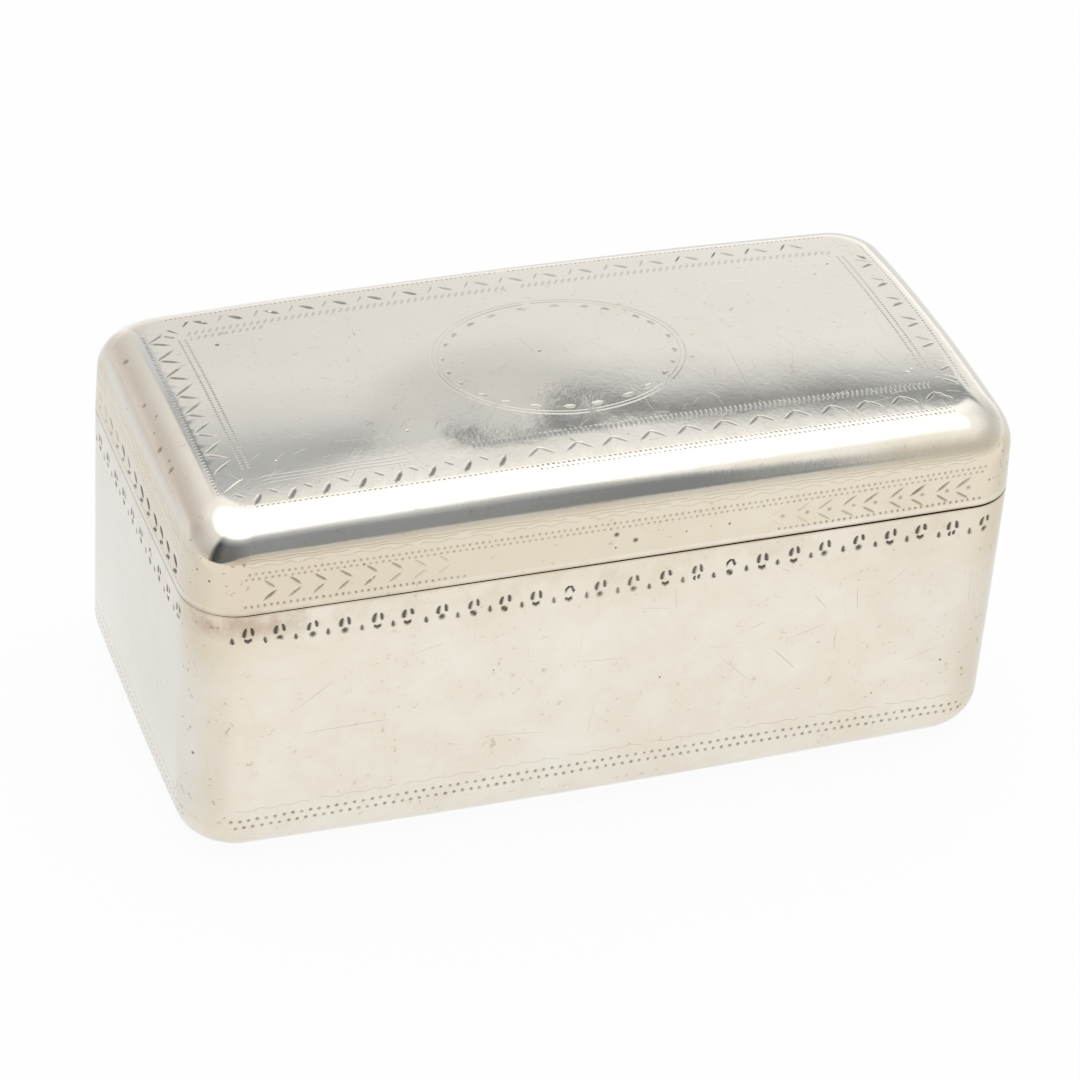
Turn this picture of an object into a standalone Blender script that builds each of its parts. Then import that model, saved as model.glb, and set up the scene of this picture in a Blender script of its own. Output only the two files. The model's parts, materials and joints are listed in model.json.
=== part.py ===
"""A deep oblong silver snuff box with a raised lid on a knuckle hinge let into its back.

The box stands on the XY plane with its length along X and its hinge at +Y. Every piece of
sheet, strip, tube and wire that a box maker would cut is one object. Lengths are in metres.
"""
import math

import bmesh
import bpy
from mathutils import Vector

# The box from outside
BOX_LENGTH = 0.0860
BOX_WIDTH = 0.0427
SEAM_HEIGHT = 0.0301
CORNER_RADIUS = 0.0054

# The sheet that the box is raised from, and the gaps between pieces that meet
SHEET = 0.00065
SEAT_GAP = 0.0003
SEAM_GAP = 0.0003

# The rounded foot, and the edge turned in under it that carries the base
FOOT_ROUND = 0.0048
FLANGE_WIDTH = 0.0018

# How far the long sides and the ends swell outwards at their middles
FOOT_SIDE_BOW = 0.0007
FOOT_END_BOW = 0.0003
SEAM_SIDE_BOW = 0.0001
SEAM_END_BOW = 0.0002
SHOULDER_SIDE_BOW = 0.0005
SHOULDER_END_BOW = 0.0003

# The lid: an upright wall, a bullnose over it, and a crowned top
LID_WALL = 0.0046
LID_DRAW_IN = 0.0002
BULLNOSE_RISE = 0.0041
BULLNOSE_WIDTH = 0.0046
CROWN_ALONG = 0.00065
CROWN_ACROSS = 0.0012
CORNER_TIGHTENING_SHARE = 0.6
TOP_RING_SHARES = (0.78, 0.5, 0.22)

# The bezel: a lip inside the mouth, which the lid closes over
BEZEL_SHEET = 0.0005
BEZEL_RISE = 0.0018
BEZEL_DEPTH = 0.0040
BEZEL_LEAN = 0.00025

# The hinge: tube knuckles on a wire pin, lying in the troughs of two bearers
KNUCKLE_COUNT = 9
KNUCKLE_RADIUS = 0.00125
KNUCKLE_CHAMFER = 0.00012
PIN_RADIUS = 0.00045
PLUG_LENGTH = 0.0014
HINGE_END_MARGIN = 0.0004
BEARER_METAL = 0.0009
BEARER_FOOT = 0.0016
LID_OPENING = math.radians(105)

# How far a cut runs past what it cuts
OVERRUN = 0.0020

# How finely curves are divided
CORNER_STEPS = 7
SIDE_STEPS = 8
END_STEPS = 4
FOOT_STEPS = 5
BULLNOSE_STEPS = 7
TURNING_STEPS = 28
TROUGH_STEPS = 40
BEARER_STEPS = 8
SHARP_ANGLE = math.radians(35)

SILVER_COLOUR = (0.86, 0.83, 0.78, 1.0)
WORN_SILVER_COLOUR = (0.80, 0.77, 0.72, 1.0)
SOLDERED_SILVER_COLOUR = (0.74, 0.72, 0.68, 1.0)
SILVER_ROUGHNESS = 0.22
WORN_ROUGHNESS = 0.34

# Places and sizes that follow from those above
HALF_LENGTH = BOX_LENGTH / 2
HALF_WIDTH = BOX_WIDTH / 2
RING_SIDES = 2 * (SIDE_STEPS + END_STEPS) + 4 * CORNER_STEPS
SMALLEST_RADIUS = CORNER_RADIUS / CORNER_STEPS
BODY_RIM = SEAM_HEIGHT - SEAM_GAP / 2
LID_RIM = SEAM_HEIGHT + SEAM_GAP / 2
SHOULDER_HEIGHT = SEAM_HEIGHT + LID_WALL
TROUGH_RADIUS = KNUCKLE_RADIUS + SEAT_GAP
BORE_RADIUS = PIN_RADIUS + SEAT_GAP
HALF_OPENING = LID_OPENING / 2
STOP_ANGLE = HALF_OPENING + math.asin(SEAT_GAP / 2 / TROUGH_RADIUS)
AXIS_Y = HALF_WIDTH + SEAM_SIDE_BOW - TROUGH_RADIUS * math.cos(STOP_ANGLE)
AXIS = Vector((0, AXIS_Y, SEAM_HEIGHT))
HALF_HINGE = HALF_LENGTH - CORNER_RADIUS - HINGE_END_MARGIN
KNUCKLE_LENGTH = (2 * HALF_HINGE - (KNUCKLE_COUNT - 1) * SEAT_GAP) / KNUCKLE_COUNT
BASE_INSET = FOOT_ROUND + FLANGE_WIDTH + SEAT_GAP


def clear_scene():
    for old in list(bpy.data.objects):
        bpy.data.objects.remove(old, do_unlink=True)


def metal(name, colour, roughness):
    material = bpy.data.materials.new(name)
    material.use_nodes = True
    shader = material.node_tree.nodes["Principled BSDF"]
    shader.inputs["Base Color"].default_value = colour
    shader.inputs["Roughness"].default_value = roughness
    shader.inputs["Metallic"].default_value = 1.0
    return material


def mix(start, end, share):
    return start + (end - start) * share


def add_object(name, shape, material, origin, parent=None):
    """Turn a bmesh in world places into an object whose own origin is at the given place."""
    bmesh.ops.translate(shape, verts=shape.verts, vec=-origin)
    mesh = bpy.data.meshes.new(name)
    shape.to_mesh(mesh)
    shape.free()
    mesh.shade_smooth()
    mesh.set_sharp_from_angle(angle=SHARP_ANGLE)
    thing = bpy.data.objects.new(name, mesh)
    bpy.context.scene.collection.objects.link(thing)
    if material:
        thing.data.materials.append(material)
    thing.location = origin
    if parent:
        thing.parent = parent
        thing.location = origin - parent.location
    return thing


def add_cutter(name, shape):
    cutter = add_object(name, shape, None, Vector((0, 0, 0)))
    cutter.hide_render = True
    cutter.display_type = "WIRE"
    return cutter


def cut(thing, cutter):
    boolean = thing.modifiers.new(cutter.name, "BOOLEAN")
    boolean.operation = "DIFFERENCE"
    boolean.solver = "EXACT"
    boolean.object = cutter


def thicken(thing, thickness):
    """Give a surface its sheet thickness, inwards from the face that shows."""
    sheet = thing.modifiers.new("sheet", "SOLIDIFY")
    sheet.thickness = thickness
    sheet.offset = -1.0
    sheet.use_even_offset = True


def bowed_oblong(inset, radius, side_bow, end_bow):
    """The plan of the box at one level: an oblong with round corners and swelling sides."""
    half_length = HALF_LENGTH - inset
    half_width = HALF_WIDTH - inset
    straight_x = half_length - radius
    straight_y = half_width - radius
    corners = ((1, -1, -math.pi / 2), (1, 1, 0), (-1, 1, math.pi / 2), (-1, -1, math.pi))
    points = []
    for quarter, (side_x, side_y, start) in enumerate(corners):
        for step in range(CORNER_STEPS + 1):
            angle = start + math.pi / 2 * step / CORNER_STEPS
            across = side_x * straight_x + radius * math.cos(angle)
            along = side_y * straight_y + radius * math.sin(angle)
            points.append((across, along))
        steps = SIDE_STEPS if quarter % 2 else END_STEPS
        next_x, next_y, next_start = corners[(quarter + 1) % 4]
        last_x, last_y = points[-1]
        goal_x = next_x * straight_x + radius * math.cos(next_start)
        goal_y = next_y * straight_y + radius * math.sin(next_start)
        for step in range(1, steps):
            points.append((mix(last_x, goal_x, step / steps), mix(last_y, goal_y, step / steps)))
    bowed = []
    for x, y in points:
        swell_x = 1 + end_bow / half_length * (1 - (y / half_width) ** 2)
        swell_y = 1 + side_bow / half_width * (1 - (x / half_length) ** 2)
        bowed.append((x * swell_x, y * swell_y))
    return bowed


def tightened_radius(inset):
    return max(CORNER_RADIUS - CORNER_TIGHTENING_SHARE * inset, SMALLEST_RADIUS)


def body_ring(inset, height):
    share = height / SEAM_HEIGHT
    side_bow = mix(FOOT_SIDE_BOW, SEAM_SIDE_BOW, share)
    end_bow = mix(FOOT_END_BOW, SEAM_END_BOW, share)
    plan = bowed_oblong(inset, tightened_radius(inset), side_bow, end_bow)
    return [Vector((x, y, height)) for x, y in plan]


def crown(x, y):
    """How far the cushioned top of the lid stands above its own edge."""
    return CROWN_ALONG * (1 - (x / HALF_LENGTH) ** 2) + CROWN_ACROSS * (1 - (y / HALF_WIDTH) ** 2)


def lid_wall_ring(height):
    share = (height - SEAM_HEIGHT) / LID_WALL
    inset = LID_DRAW_IN * share
    side_bow = mix(SEAM_SIDE_BOW, SHOULDER_SIDE_BOW, share)
    end_bow = mix(SEAM_END_BOW, SHOULDER_END_BOW, share)
    plan = bowed_oblong(inset, tightened_radius(inset), side_bow, end_bow)
    return [Vector((x, y, height)) for x, y in plan]


def bullnose_ring(angle):
    """One level of the rounding, from the shoulder at no angle to the top at a right angle."""
    inset = LID_DRAW_IN + BULLNOSE_WIDTH * (1 - math.cos(angle))
    plan = bowed_oblong(inset, tightened_radius(inset), SHOULDER_SIDE_BOW, SHOULDER_END_BOW)
    rise = math.sin(angle)
    return [Vector((x, y, SHOULDER_HEIGHT + rise * (BULLNOSE_RISE + crown(x, y)))) for x, y in plan]


def top_ring(share):
    """A ring of the crowned top, drawn in from the bullnose towards the middle."""
    height = SHOULDER_HEIGHT + BULLNOSE_RISE
    ring = []
    for point in bullnose_ring(math.pi / 2):
        x = point.x * share
        y = point.y * share
        ring.append(Vector((x, y, height + crown(x, y))))
    return ring


def loft(rings):
    """Join a row of plan rings, each to the next, into one surface open at both ends."""
    shape = bmesh.new()
    loops = []
    for ring in rings:
        loops.append([shape.verts.new(point) for point in ring])
    for lower, upper in zip(loops, loops[1:]):
        for this in range(RING_SIDES):
            after = (this + 1) % RING_SIDES
            shape.faces.new((lower[this], lower[after], upper[after], upper[this]))
    return shape, loops


def prism(profile, start, end):
    """Extrude an outline that lies across the X axis from one place along it to another."""
    shape = bmesh.new()
    face = shape.faces.new([shape.verts.new((start, y, z)) for y, z in profile])
    grown = bmesh.ops.extrude_face_region(shape, geom=[face])
    moved = [item for item in grown["geom"] if isinstance(item, bmesh.types.BMVert)]
    bmesh.ops.translate(shape, verts=moved, vec=(end - start, 0, 0))
    bmesh.ops.recalc_face_normals(shape, faces=shape.faces)
    return shape


def turn(profile, steps):
    """Turn an outline of places along the hinge and radii once round the hinge's axis."""
    shape = bmesh.new()
    points = [shape.verts.new((x, AXIS.y, AXIS.z + radius)) for x, radius in profile]
    for this, point in enumerate(points):
        if profile[this][1] or profile[this - 1][1]:
            shape.edges.new((points[this - 1], point))
    bmesh.ops.spin(shape, geom=shape.verts[:] + shape.edges[:], cent=AXIS, axis=(1, 0, 0),
                   dvec=(0, 0, 0), angle=2 * math.pi, steps=steps, use_merge=True)
    bmesh.ops.remove_doubles(shape, verts=shape.verts, dist=KNUCKLE_CHAMFER / steps)
    bmesh.ops.recalc_face_normals(shape, faces=shape.faces)
    return shape


def make_trough_cutter():
    """The round channel, a gap wider than the knuckles, that both walls lose along the hinge."""
    end = HALF_HINGE + SEAT_GAP
    outline = ((-end, 0), (-end, TROUGH_RADIUS), (end, TROUGH_RADIUS), (end, 0))
    return add_cutter("trough_cutter", turn(outline, TROUGH_STEPS))


def make_bevel_cutter():
    """The relief filed off both rims, which meet along its two faces when the lid is open."""
    apex = AXIS.y - SEAT_GAP / 2 / math.sin(HALF_OPENING)
    back = HALF_WIDTH + SEAM_SIDE_BOW + OVERRUN
    rise = (back - apex) * math.tan(HALF_OPENING)
    outline = ((apex, AXIS.z), (back, AXIS.z - rise), (back, AXIS.z + rise))
    end = HALF_LENGTH + OVERRUN
    return add_cutter("bevel_cutter", prism(outline, -end, end))


def make_body_wall(silver, trough, bevel):
    """The raised band: an edge turned in under the foot, the rounded foot and the wall."""
    rings = [body_ring(FOOT_ROUND + FLANGE_WIDTH, 0)]
    for step in range(FOOT_STEPS + 1):
        angle = math.pi / 2 * step / FOOT_STEPS
        inset = FOOT_ROUND * (1 - math.sin(angle))
        rings.append(body_ring(inset, FOOT_ROUND * (1 - math.cos(angle))))
    rings.append(body_ring(0, BODY_RIM))
    wall = add_object("body_wall", loft(rings)[0], silver, Vector((0, 0, 0)))
    thicken(wall, SHEET)
    cut(wall, trough)
    cut(wall, bevel)


def make_base_plate(silver):
    """The flat base, let in between the turned-in edges and flush with them."""
    shape, loops = loft([body_ring(BASE_INSET, 0), body_ring(BASE_INSET, 0)])
    bmesh.ops.translate(shape, verts=loops[1], vec=(0, 0, SHEET))
    shape.faces.new(loops[0][::-1])
    shape.faces.new(loops[1])
    add_object("base_plate", shape, silver, Vector((0, 0, 0)))


def make_mouth_bezel(silver):
    """The lip inside the mouth: it grips the wall below the seam and leans in above it."""
    inset = SHEET + SEAT_GAP
    levels = ((inset, SEAM_HEIGHT - BEZEL_DEPTH), (inset, SEAM_HEIGHT),
              (inset + BEZEL_LEAN, SEAM_HEIGHT + BEZEL_RISE))
    rings = []
    for level_inset, height in levels:
        plan = bowed_oblong(level_inset, CORNER_RADIUS - level_inset, SEAM_SIDE_BOW, SEAM_END_BOW)
        rings.append([Vector((x, y, height)) for x, y in plan])
    bezel = add_object("mouth_bezel", loft(rings)[0], silver, Vector((0, 0, SEAM_HEIGHT)))
    thicken(bezel, BEZEL_SHEET)
    back = HALF_WIDTH + SEAM_SIDE_BOW
    front = AXIS.y - TROUGH_RADIUS - BEARER_METAL - SEAT_GAP
    low = SEAM_HEIGHT - BEZEL_DEPTH - OVERRUN
    high = SEAM_HEIGHT + BEZEL_RISE + OVERRUN
    end = HALF_HINGE + SEAT_GAP
    gap_cutter = prism(((front, low), (back, low), (back, high), (front, high)), -end, end)
    cut(bezel, add_cutter("bezel_cutter", gap_cutter))


def bearer_outline(up, lean):
    """The section of a bearer: a strip with a quarter-round trough and a tapered foot.

    up is 1 for the lid's bearer and -1 for the body's. lean is how far the wall behind it
    draws in for each unit of height.
    """
    back = HALF_WIDTH - SHEET - SEAT_GAP - AXIS.y
    lip = SEAM_GAP / 2
    depth = TROUGH_RADIUS + BEARER_METAL
    height = TROUGH_RADIUS + BEARER_FOOT
    start = math.asin(lip / TROUGH_RADIUS)
    end = math.acos(-back / TROUGH_RADIUS)
    points = []
    for step in range(BEARER_STEPS + 1):
        angle = mix(start, end, step / BEARER_STEPS)
        points.append((-TROUGH_RADIUS * math.cos(angle), TROUGH_RADIUS * math.sin(angle)))
    points.append((back - lean * height, height))
    points.append((back - lean * height - BEARER_METAL, height))
    points.append((-depth, TROUGH_RADIUS))
    points.append((-depth, lip))
    return [(AXIS.y + y, AXIS.z + up * z) for y, z in points]


def make_bearers(silver, lid_axis):
    lid_lean = LID_DRAW_IN / LID_WALL
    body_shape = prism(bearer_outline(-1, 0), -HALF_HINGE, HALF_HINGE)
    lid_shape = prism(bearer_outline(1, lid_lean), -HALF_HINGE, HALF_HINGE)
    add_object("body_hinge_bearer", body_shape, silver, AXIS)
    add_object("lid_hinge_bearer", lid_shape, silver, AXIS, lid_axis)


def make_knuckles(silver, lid_axis):
    """Short tubes along the axis, by turns the body's and the lid's, the body's outermost."""
    edge = KNUCKLE_RADIUS - KNUCKLE_CHAMFER
    for place in range(KNUCKLE_COUNT):
        start = -HALF_HINGE + place * (KNUCKLE_LENGTH + SEAT_GAP)
        end = start + KNUCKLE_LENGTH
        outline = ((start, BORE_RADIUS), (start, edge), (start + KNUCKLE_CHAMFER, KNUCKLE_RADIUS),
                   (end - KNUCKLE_CHAMFER, KNUCKLE_RADIUS), (end, edge), (end, BORE_RADIUS))
        middle = Vector(((start + end) / 2, AXIS.y, AXIS.z))
        if place % 2:
            name = "lid_knuckle_%d" % (place // 2 + 1)
            add_object(name, turn(outline, TURNING_STEPS), silver, middle, lid_axis)
        else:
            name = "body_knuckle_%d" % (place // 2 + 1)
            add_object(name, turn(outline, TURNING_STEPS), silver, middle)


def make_pin(silver):
    """The wire that the lid turns on, and the two plugs that close the outer knuckles."""
    half_pin = HALF_HINGE - PLUG_LENGTH - SEAT_GAP
    outline = ((-half_pin, 0), (-half_pin, PIN_RADIUS), (half_pin, PIN_RADIUS), (half_pin, 0))
    add_object("hinge_pin", turn(outline, TURNING_STEPS), silver, AXIS)
    dome = PIN_RADIUS / 2
    for name, side in (("pin_plug_left", -1), ("pin_plug_right", 1)):
        inner = side * (HALF_HINGE - PLUG_LENGTH)
        outer = side * HALF_HINGE
        rim = outer - side * dome / 2
        outline = ((inner, 0), (inner, PIN_RADIUS), (rim, PIN_RADIUS), (outer, dome), (outer, 0))
        place = Vector((inner, AXIS.y, AXIS.z))
        add_object(name, turn(outline, TURNING_STEPS), silver, place)


def make_lid_cover(silver, trough, bevel, lid_axis):
    """The raised lid: wall, bullnose and crowned top from one sheet."""
    rings = [lid_wall_ring(LID_RIM)]
    for step in range(BULLNOSE_STEPS + 1):
        rings.append(bullnose_ring(math.pi / 2 * step / BULLNOSE_STEPS))
    for share in TOP_RING_SHARES:
        rings.append(top_ring(share))
    shape, loops = loft(rings)
    shape.faces.new(loops[-1])
    lid = add_object("lid_cover", shape, silver, AXIS, lid_axis)
    thicken(lid, SHEET)
    cut(lid, trough)
    cut(lid, bevel)


def build():
    clear_scene()
    silver = metal("polished_silver", SILVER_COLOUR, SILVER_ROUGHNESS)
    worn = metal("worn_silver", WORN_SILVER_COLOUR, WORN_ROUGHNESS)
    soldered = metal("soldered_silver", SOLDERED_SILVER_COLOUR, WORN_ROUGHNESS)
    lid_axis = bpy.data.objects.new("lid_axis", None)
    lid_axis.location = AXIS
    bpy.context.scene.collection.objects.link(lid_axis)
    trough = make_trough_cutter()
    bevel = make_bevel_cutter()
    make_body_wall(silver, trough, bevel)
    make_base_plate(worn)
    make_mouth_bezel(worn)
    make_lid_cover(silver, trough, bevel, lid_axis)
    make_bearers(soldered, lid_axis)
    make_knuckles(worn, lid_axis)
    make_pin(soldered)


build()
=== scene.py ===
"""The finish of a silver snuff box: raised sheet, punched and bright-cut borders, worn polish.

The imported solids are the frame. The two raised sheets, the body's wall and the lid, are made
again here with their ornament cut into them, and ride where the frame's own pieces do. Each
sheet is drawn flat first, as distances round the box and up its side, and then laid on the
form. Lengths are in metres and angles in radians.
"""
import json
import math
import random

import bmesh
import bpy
import numpy as np
from bpy.props import FloatProperty, FloatVectorProperty, PointerProperty
from mathutils import Matrix, Vector, kdtree
from mathutils.geometry import delaunay_2d_cdt


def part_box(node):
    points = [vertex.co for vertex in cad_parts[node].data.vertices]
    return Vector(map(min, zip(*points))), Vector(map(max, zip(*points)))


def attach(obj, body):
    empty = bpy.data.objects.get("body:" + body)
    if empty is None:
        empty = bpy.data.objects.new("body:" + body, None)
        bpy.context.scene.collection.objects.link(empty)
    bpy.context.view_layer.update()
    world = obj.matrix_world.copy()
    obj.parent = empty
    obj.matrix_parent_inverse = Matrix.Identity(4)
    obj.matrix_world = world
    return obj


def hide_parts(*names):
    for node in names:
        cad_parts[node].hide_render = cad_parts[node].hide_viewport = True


bl_info = {
    "name": "Silver Snuff Box",
    "version": (1, 0, 0),
    "blender": (4, 5, 0),
    "location": "3D View > Sidebar > Snuff Box",
    "description": "Raises, engraves and finishes a silver snuff box round its fitted frame",
    "category": "Add Mesh",
}

MM = 0.001

LEAST_DEPTH = 0.010 * MM
SCRATCH_DEPTH = 0.012 * MM
PIT_DEPTH = 0.05 * MM
WELD_REACH = 0.06 * MM
SAME_PLACE = 0.002 * MM
MESH_STEP = 1.5 * MM
LONG_SIDES = ("front", "back")

# Scratches and pits on the front: places round and up the sheet, and widths, in millimetres.
BODY_SCRATCHES = (
    (-32.9, 20.8, -28.7, 23.9, 0.12), (-39.6, 18.9, -39.1, 19.8, 0.3), (-33.0, 17.8, -22.0, 18.0, 0.10),
    (16.8, 19.4, 20.1, 15.8, 0.16), (11.5, 19.0, 15.0, 15.5, 0.10), (20.9, 25.3, 22.7, 23.0, 0.13),
    (25.7, 25.5, 26.1, 22.0, 0.11), (23.9, 20.5, 24.0, 17.5, 0.10), (18.5, 20.2, 23.1, 21.4, 0.10),
    (14.3, 22.0, 16.0, 22.7, 0.12), (5.9, 29.0, 6.3, 25.8, 0.08), (2.0, 26.7, 6.0, 26.0, 0.08),
    (17.0, 28.9, 18.2, 28.1, 0.12), (31.0, 14.5, 36.0, 16.2, 0.08), (-14.0, 14.0, -6.0, 13.2, 0.08),
    (-21.0, 25.5, -17.5, 26.2, 0.08), (28.5, 24.6, 31.2, 26.9, 0.09), (-4.5, 21.5, 1.5, 20.9, 0.07),
)
BODY_PITS = ((5.0, 17.9, 0.3), (-12.7, 22.0, 0.25), (28.8, 11.3, 0.25), (36.2, 14.1, 0.4),
             (-43.0, 15.5, 0.5))
LID_PITS = ((-0.95, 3.3, 0.8), (1.1, 2.3, 0.8), (-0.9, 1.7, 0.35), (10.9, 2.57, 0.42), (8.9, 2.6, 0.3),
            (6.4, 2.4, 0.3), (-41.6, 3.6, 0.4), (-43.0, 4.4, 0.35), (39.0, 2.9, 0.35), (15.0, 2.6, 0.22))
NOSE_PITS = ((-74.1, 8.8, 1.0), (-65.4, 8.6, 0.7), (-62.6, 9.2, 0.5), (-57.8, 8.15, 0.95), (-55.3, 8.5, 0.5),
             (-53.9, 8.3, 1.0), (-60.6, 8.3, 0.3))
TOP_SCRATCHES = (
    (-19.0, -5.5, -16.5, -3.2, 0.16), (-29.3, -2.8, -27.8, -5.7, 0.1), (-16.0, -9.6, -14.5, -7.8, 0.18),
    (-25.0, 8.7, -20.0, 11.0, 0.08), (12.0, 7.7, 16.0, 7.2, 0.1), (26.0, -1.3, 31.5, -0.5, 0.1),
    (-18.2, -5.9, -15.8, -3.4, 0.08), (20.0, 10.0, 26.0, 9.0, 0.07),
)
TOP_PITS = ((-1.6, 0.9, 0.5), (-32.2, 10.4, 0.6), (-18.6, -9.3, 0.4), (-32.2, -10.8, 0.3))
BORDER_PITS = ((33.8, 10.9, 0.5), (33.7, -10.5, 0.5), (34.3, -10.0, 0.3))

# Dents in the lid's top, in millimetres: place along and across, reach and depth. A negative one
# is a low swelling.
TOP_DENTS = ((-9.5, -6.5, 5.6, 0.120), (-1.0, -9.6, 2.6, 0.050), (16.0, 6.0, 7.0, 0.020),
             (-24.0, -8.0, 6.0, -0.050), (-15.5, -10.0, 2.6, -0.030), (24.0, -3.0, 9.0, -0.030))

# Rows of dots: height in millimetres, start in pitches along, and share of the full depth.
FOOT_ROWS = ((7.98, 0.0, 0.8), (7.12, 0.5, 0.95))
LID_ROWS = ((4.12, 0.0, 0.65), (4.70, 0.5, 0.75))
RIM_ROW = 1.0 * MM

# Wavy lines on the lid's wall: height, swing and wave in millimetres, and how black they are.
LID_WAVES = ((5.55, 0.13, 2.3, 0.14), (5.98, 0.07, 3.1, 0.10), (6.3, 0.04, 4.3, 0.06))

# Keels of the larger cuts, in millimetres: places along and up, and half the width at each.
LEAF_ARCH = ((-0.42, -0.1, 0.0), (-0.33, 0.45, 0.22), (-0.08, 0.80, 0.17), (0.24, 0.76, 0.21),
             (0.42, 0.3, 0.24), (0.40, 0.0, 0.0))
BOWL = ((-0.44, 0.32, 0.0), (-0.27, 0.02, 0.27), (-0.02, -0.12, 0.36), (0.24, 0.02, 0.27),
        (0.40, 0.32, 0.0))
ZIGZAG_BEND = ((-36.4, -0.98, 0.0), (-37.2, -0.68, 0.24), (-38.05, -0.28, 0.28), (-38.5, 0.05, 0.13),
               (-38.0, 0.5, 0.20), (-37.2, 1.15, 0.23), (-36.25, 2.0, 0.0))
PEAK = ((-1.6, -1.4, 0.0), (-1.1, -0.95, 0.22), (-0.5, -0.42, 0.27), (0.0, -0.05, 0.15),
        (0.52, -0.4, 0.25), (1.1, -0.9, 0.22), (1.6, -1.35, 0.0))

# Single strokes, in millimetres: the place of either end along and up, and the width.
SLANTED_DROP = (-0.42, 0.28, 0.32, -0.34, 0.88)
TWIN_DROPS = ((-0.34, -0.32, -0.14, 0.30, 0.50), (0.10, -0.22, 0.30, 0.40, 0.50))
FRONT_UPRIGHT = (0.0, -16.8, 1.2, -14.95, 0.66)
FRONT_FOLLOWER = (-1.5, -14.6, -0.5, -15.5, 0.52)
FRONT_TICK = (-0.16, -13.57, 0.16, -12.33, 0.32)
BACK_SLANT = (-0.8, 15.95, 0.75, 14.65, 0.78)
RIGHT_LONG = (36.9, 0.0, 38.7, 0.8, 0.56)
RIGHT_SHORT = (36.9, 2.1, 38.5, 1.1, 0.5)

# Strokes in the border's corners, each with its share of the depth, how black it is and its steps.
LEFT_CORNERS = (((-36.4, 14.8, -34.9, 13.5, 0.8), 0.5, 0.6, 5),
                ((-36.9, 13.6, -35.8, 12.9, 0.6), 0.5, 0.5, 5),
                ((-38.6, -14.6, -35.9, -12.6, 0.44), 0.5, 0.34, 5))
RIGHT_CORNERS = (((36.2, -11.7, 38.2, -13.5, 0.56), 0.4, 0.6, 5),
                 ((37.2, -11.5, 38.7, -12.8, 0.36), 0.3, 0.4, 4),
                 ((37.6, 12.3, 38.4, 11.0, 0.6), 0.7, 0.5, 4))

# The photograph's camera, as fitted: degrees round, up and rolled, and its focal length in pixels.
CAMERA_ANGLES = (-21.6626, 34.9605, 4.4020)
CAMERA_DISTANCE = 411.4 * MM
CAMERA_AIM = 19.42 * MM
CAMERA_SHIFT = (-0.367 * MM, -1.281 * MM)
FOCAL_PIXELS = 4005.15
PHOTO_PIXELS = 1080

# The stage, in metres and watts.
FLOOR_RADIUS = 3.0
SOFT_BOX_SIZE = (1.3, 0.9)
SOFT_BOX_PLACE = (0.0, 0.05, 1.6)
SOFT_BOX_WATTS = 1.6

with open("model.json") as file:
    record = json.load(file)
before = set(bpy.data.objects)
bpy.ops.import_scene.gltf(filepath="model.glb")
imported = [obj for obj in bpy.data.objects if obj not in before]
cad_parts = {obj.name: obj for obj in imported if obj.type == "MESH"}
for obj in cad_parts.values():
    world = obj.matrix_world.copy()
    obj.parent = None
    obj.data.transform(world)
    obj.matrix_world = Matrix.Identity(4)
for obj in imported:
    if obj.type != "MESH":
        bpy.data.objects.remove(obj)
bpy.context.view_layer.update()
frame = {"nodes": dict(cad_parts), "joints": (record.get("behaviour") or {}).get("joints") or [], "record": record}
HINGE = frame["joints"][0]
AXIS = Vector(HINGE["pos_m"])
LID_OPENING = math.radians(HINGE["range_deg"][1])
KNUCKLE_LOW, KNUCKLE_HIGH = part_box("body_knuckle_1")
KNUCKLE_RADIUS = (KNUCKLE_HIGH.z - KNUCKLE_LOW.z) / 2
HALF_HINGE = -KNUCKLE_LOW.x


def length(label, default, note):
    """A length that a user can change, kept in metres."""
    return FloatProperty(name=label, description=note, default=default, unit="LENGTH", precision=5)


def share(label, default, note):
    return FloatProperty(name=label, description=note, default=default, min=0.0, max=1.0)


def colour(label, default, note):
    return FloatVectorProperty(name=label, description=note, default=default, size=3, subtype="COLOR")


class SnuffBoxForm(bpy.types.PropertyGroup):
    """The sizes of the raised sheets, as on the frame."""

    box_length: length("Length", 0.0860, "Length of the box at its corners")
    box_width: length("Width", 0.0427, "Width of the box at its corners")
    corner_radius: length("Corner radius", 0.0054, "Radius of the four upright corners")
    corner_tightening: share("Corner tightening", 0.6, "How fast the corners tighten inwards")
    sheet: length("Sheet", 0.00065, "Thickness of the raised sheet")
    rim_gap: length("Rim gap", 0.00009, "From the seam's middle to either rim when shut")
    seat_gap: length("Seat gap", 0.0003, "Clearance between pieces that meet")
    foot_round: length("Foot rounding", 0.0048, "Radius of the rounded foot")
    flange_width: length("Turned-in edge", 0.0018, "Width of the edge turned in under the foot")
    foot_side_bow: length("Foot side swell", 0.0007, "Swell of the long sides at the foot")
    foot_end_bow: length("Foot end swell", 0.0003, "Swell of the ends at the foot")
    seam_side_bow: length("Seam side swell", 0.0001, "Swell of the long sides at the seam")
    seam_end_bow: length("Seam end swell", 0.0002, "Swell of the ends at the seam")
    shoulder_side_bow: length("Shoulder side swell", 0.0005, "Swell of the lid's long sides")
    shoulder_end_bow: length("Shoulder end swell", 0.0003, "Swell of the lid's ends")
    lid_wall: length("Lid wall", 0.0046, "Height of the lid's upright wall")
    lid_draw_in: length("Lid draw-in", 0.0002, "How far the lid's wall leans in")
    bullnose_rise: length("Bullnose rise", 0.0041, "Height of the rounding over the lid's wall")
    bullnose_width: length("Bullnose width", 0.0046, "How far the rounding runs in over the top")
    crown_along: length("Crown along", 0.00065, "Rise of the lid's top along the box")
    crown_across: length("Crown across", 0.0012, "Rise of the lid's top across the box")


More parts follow.
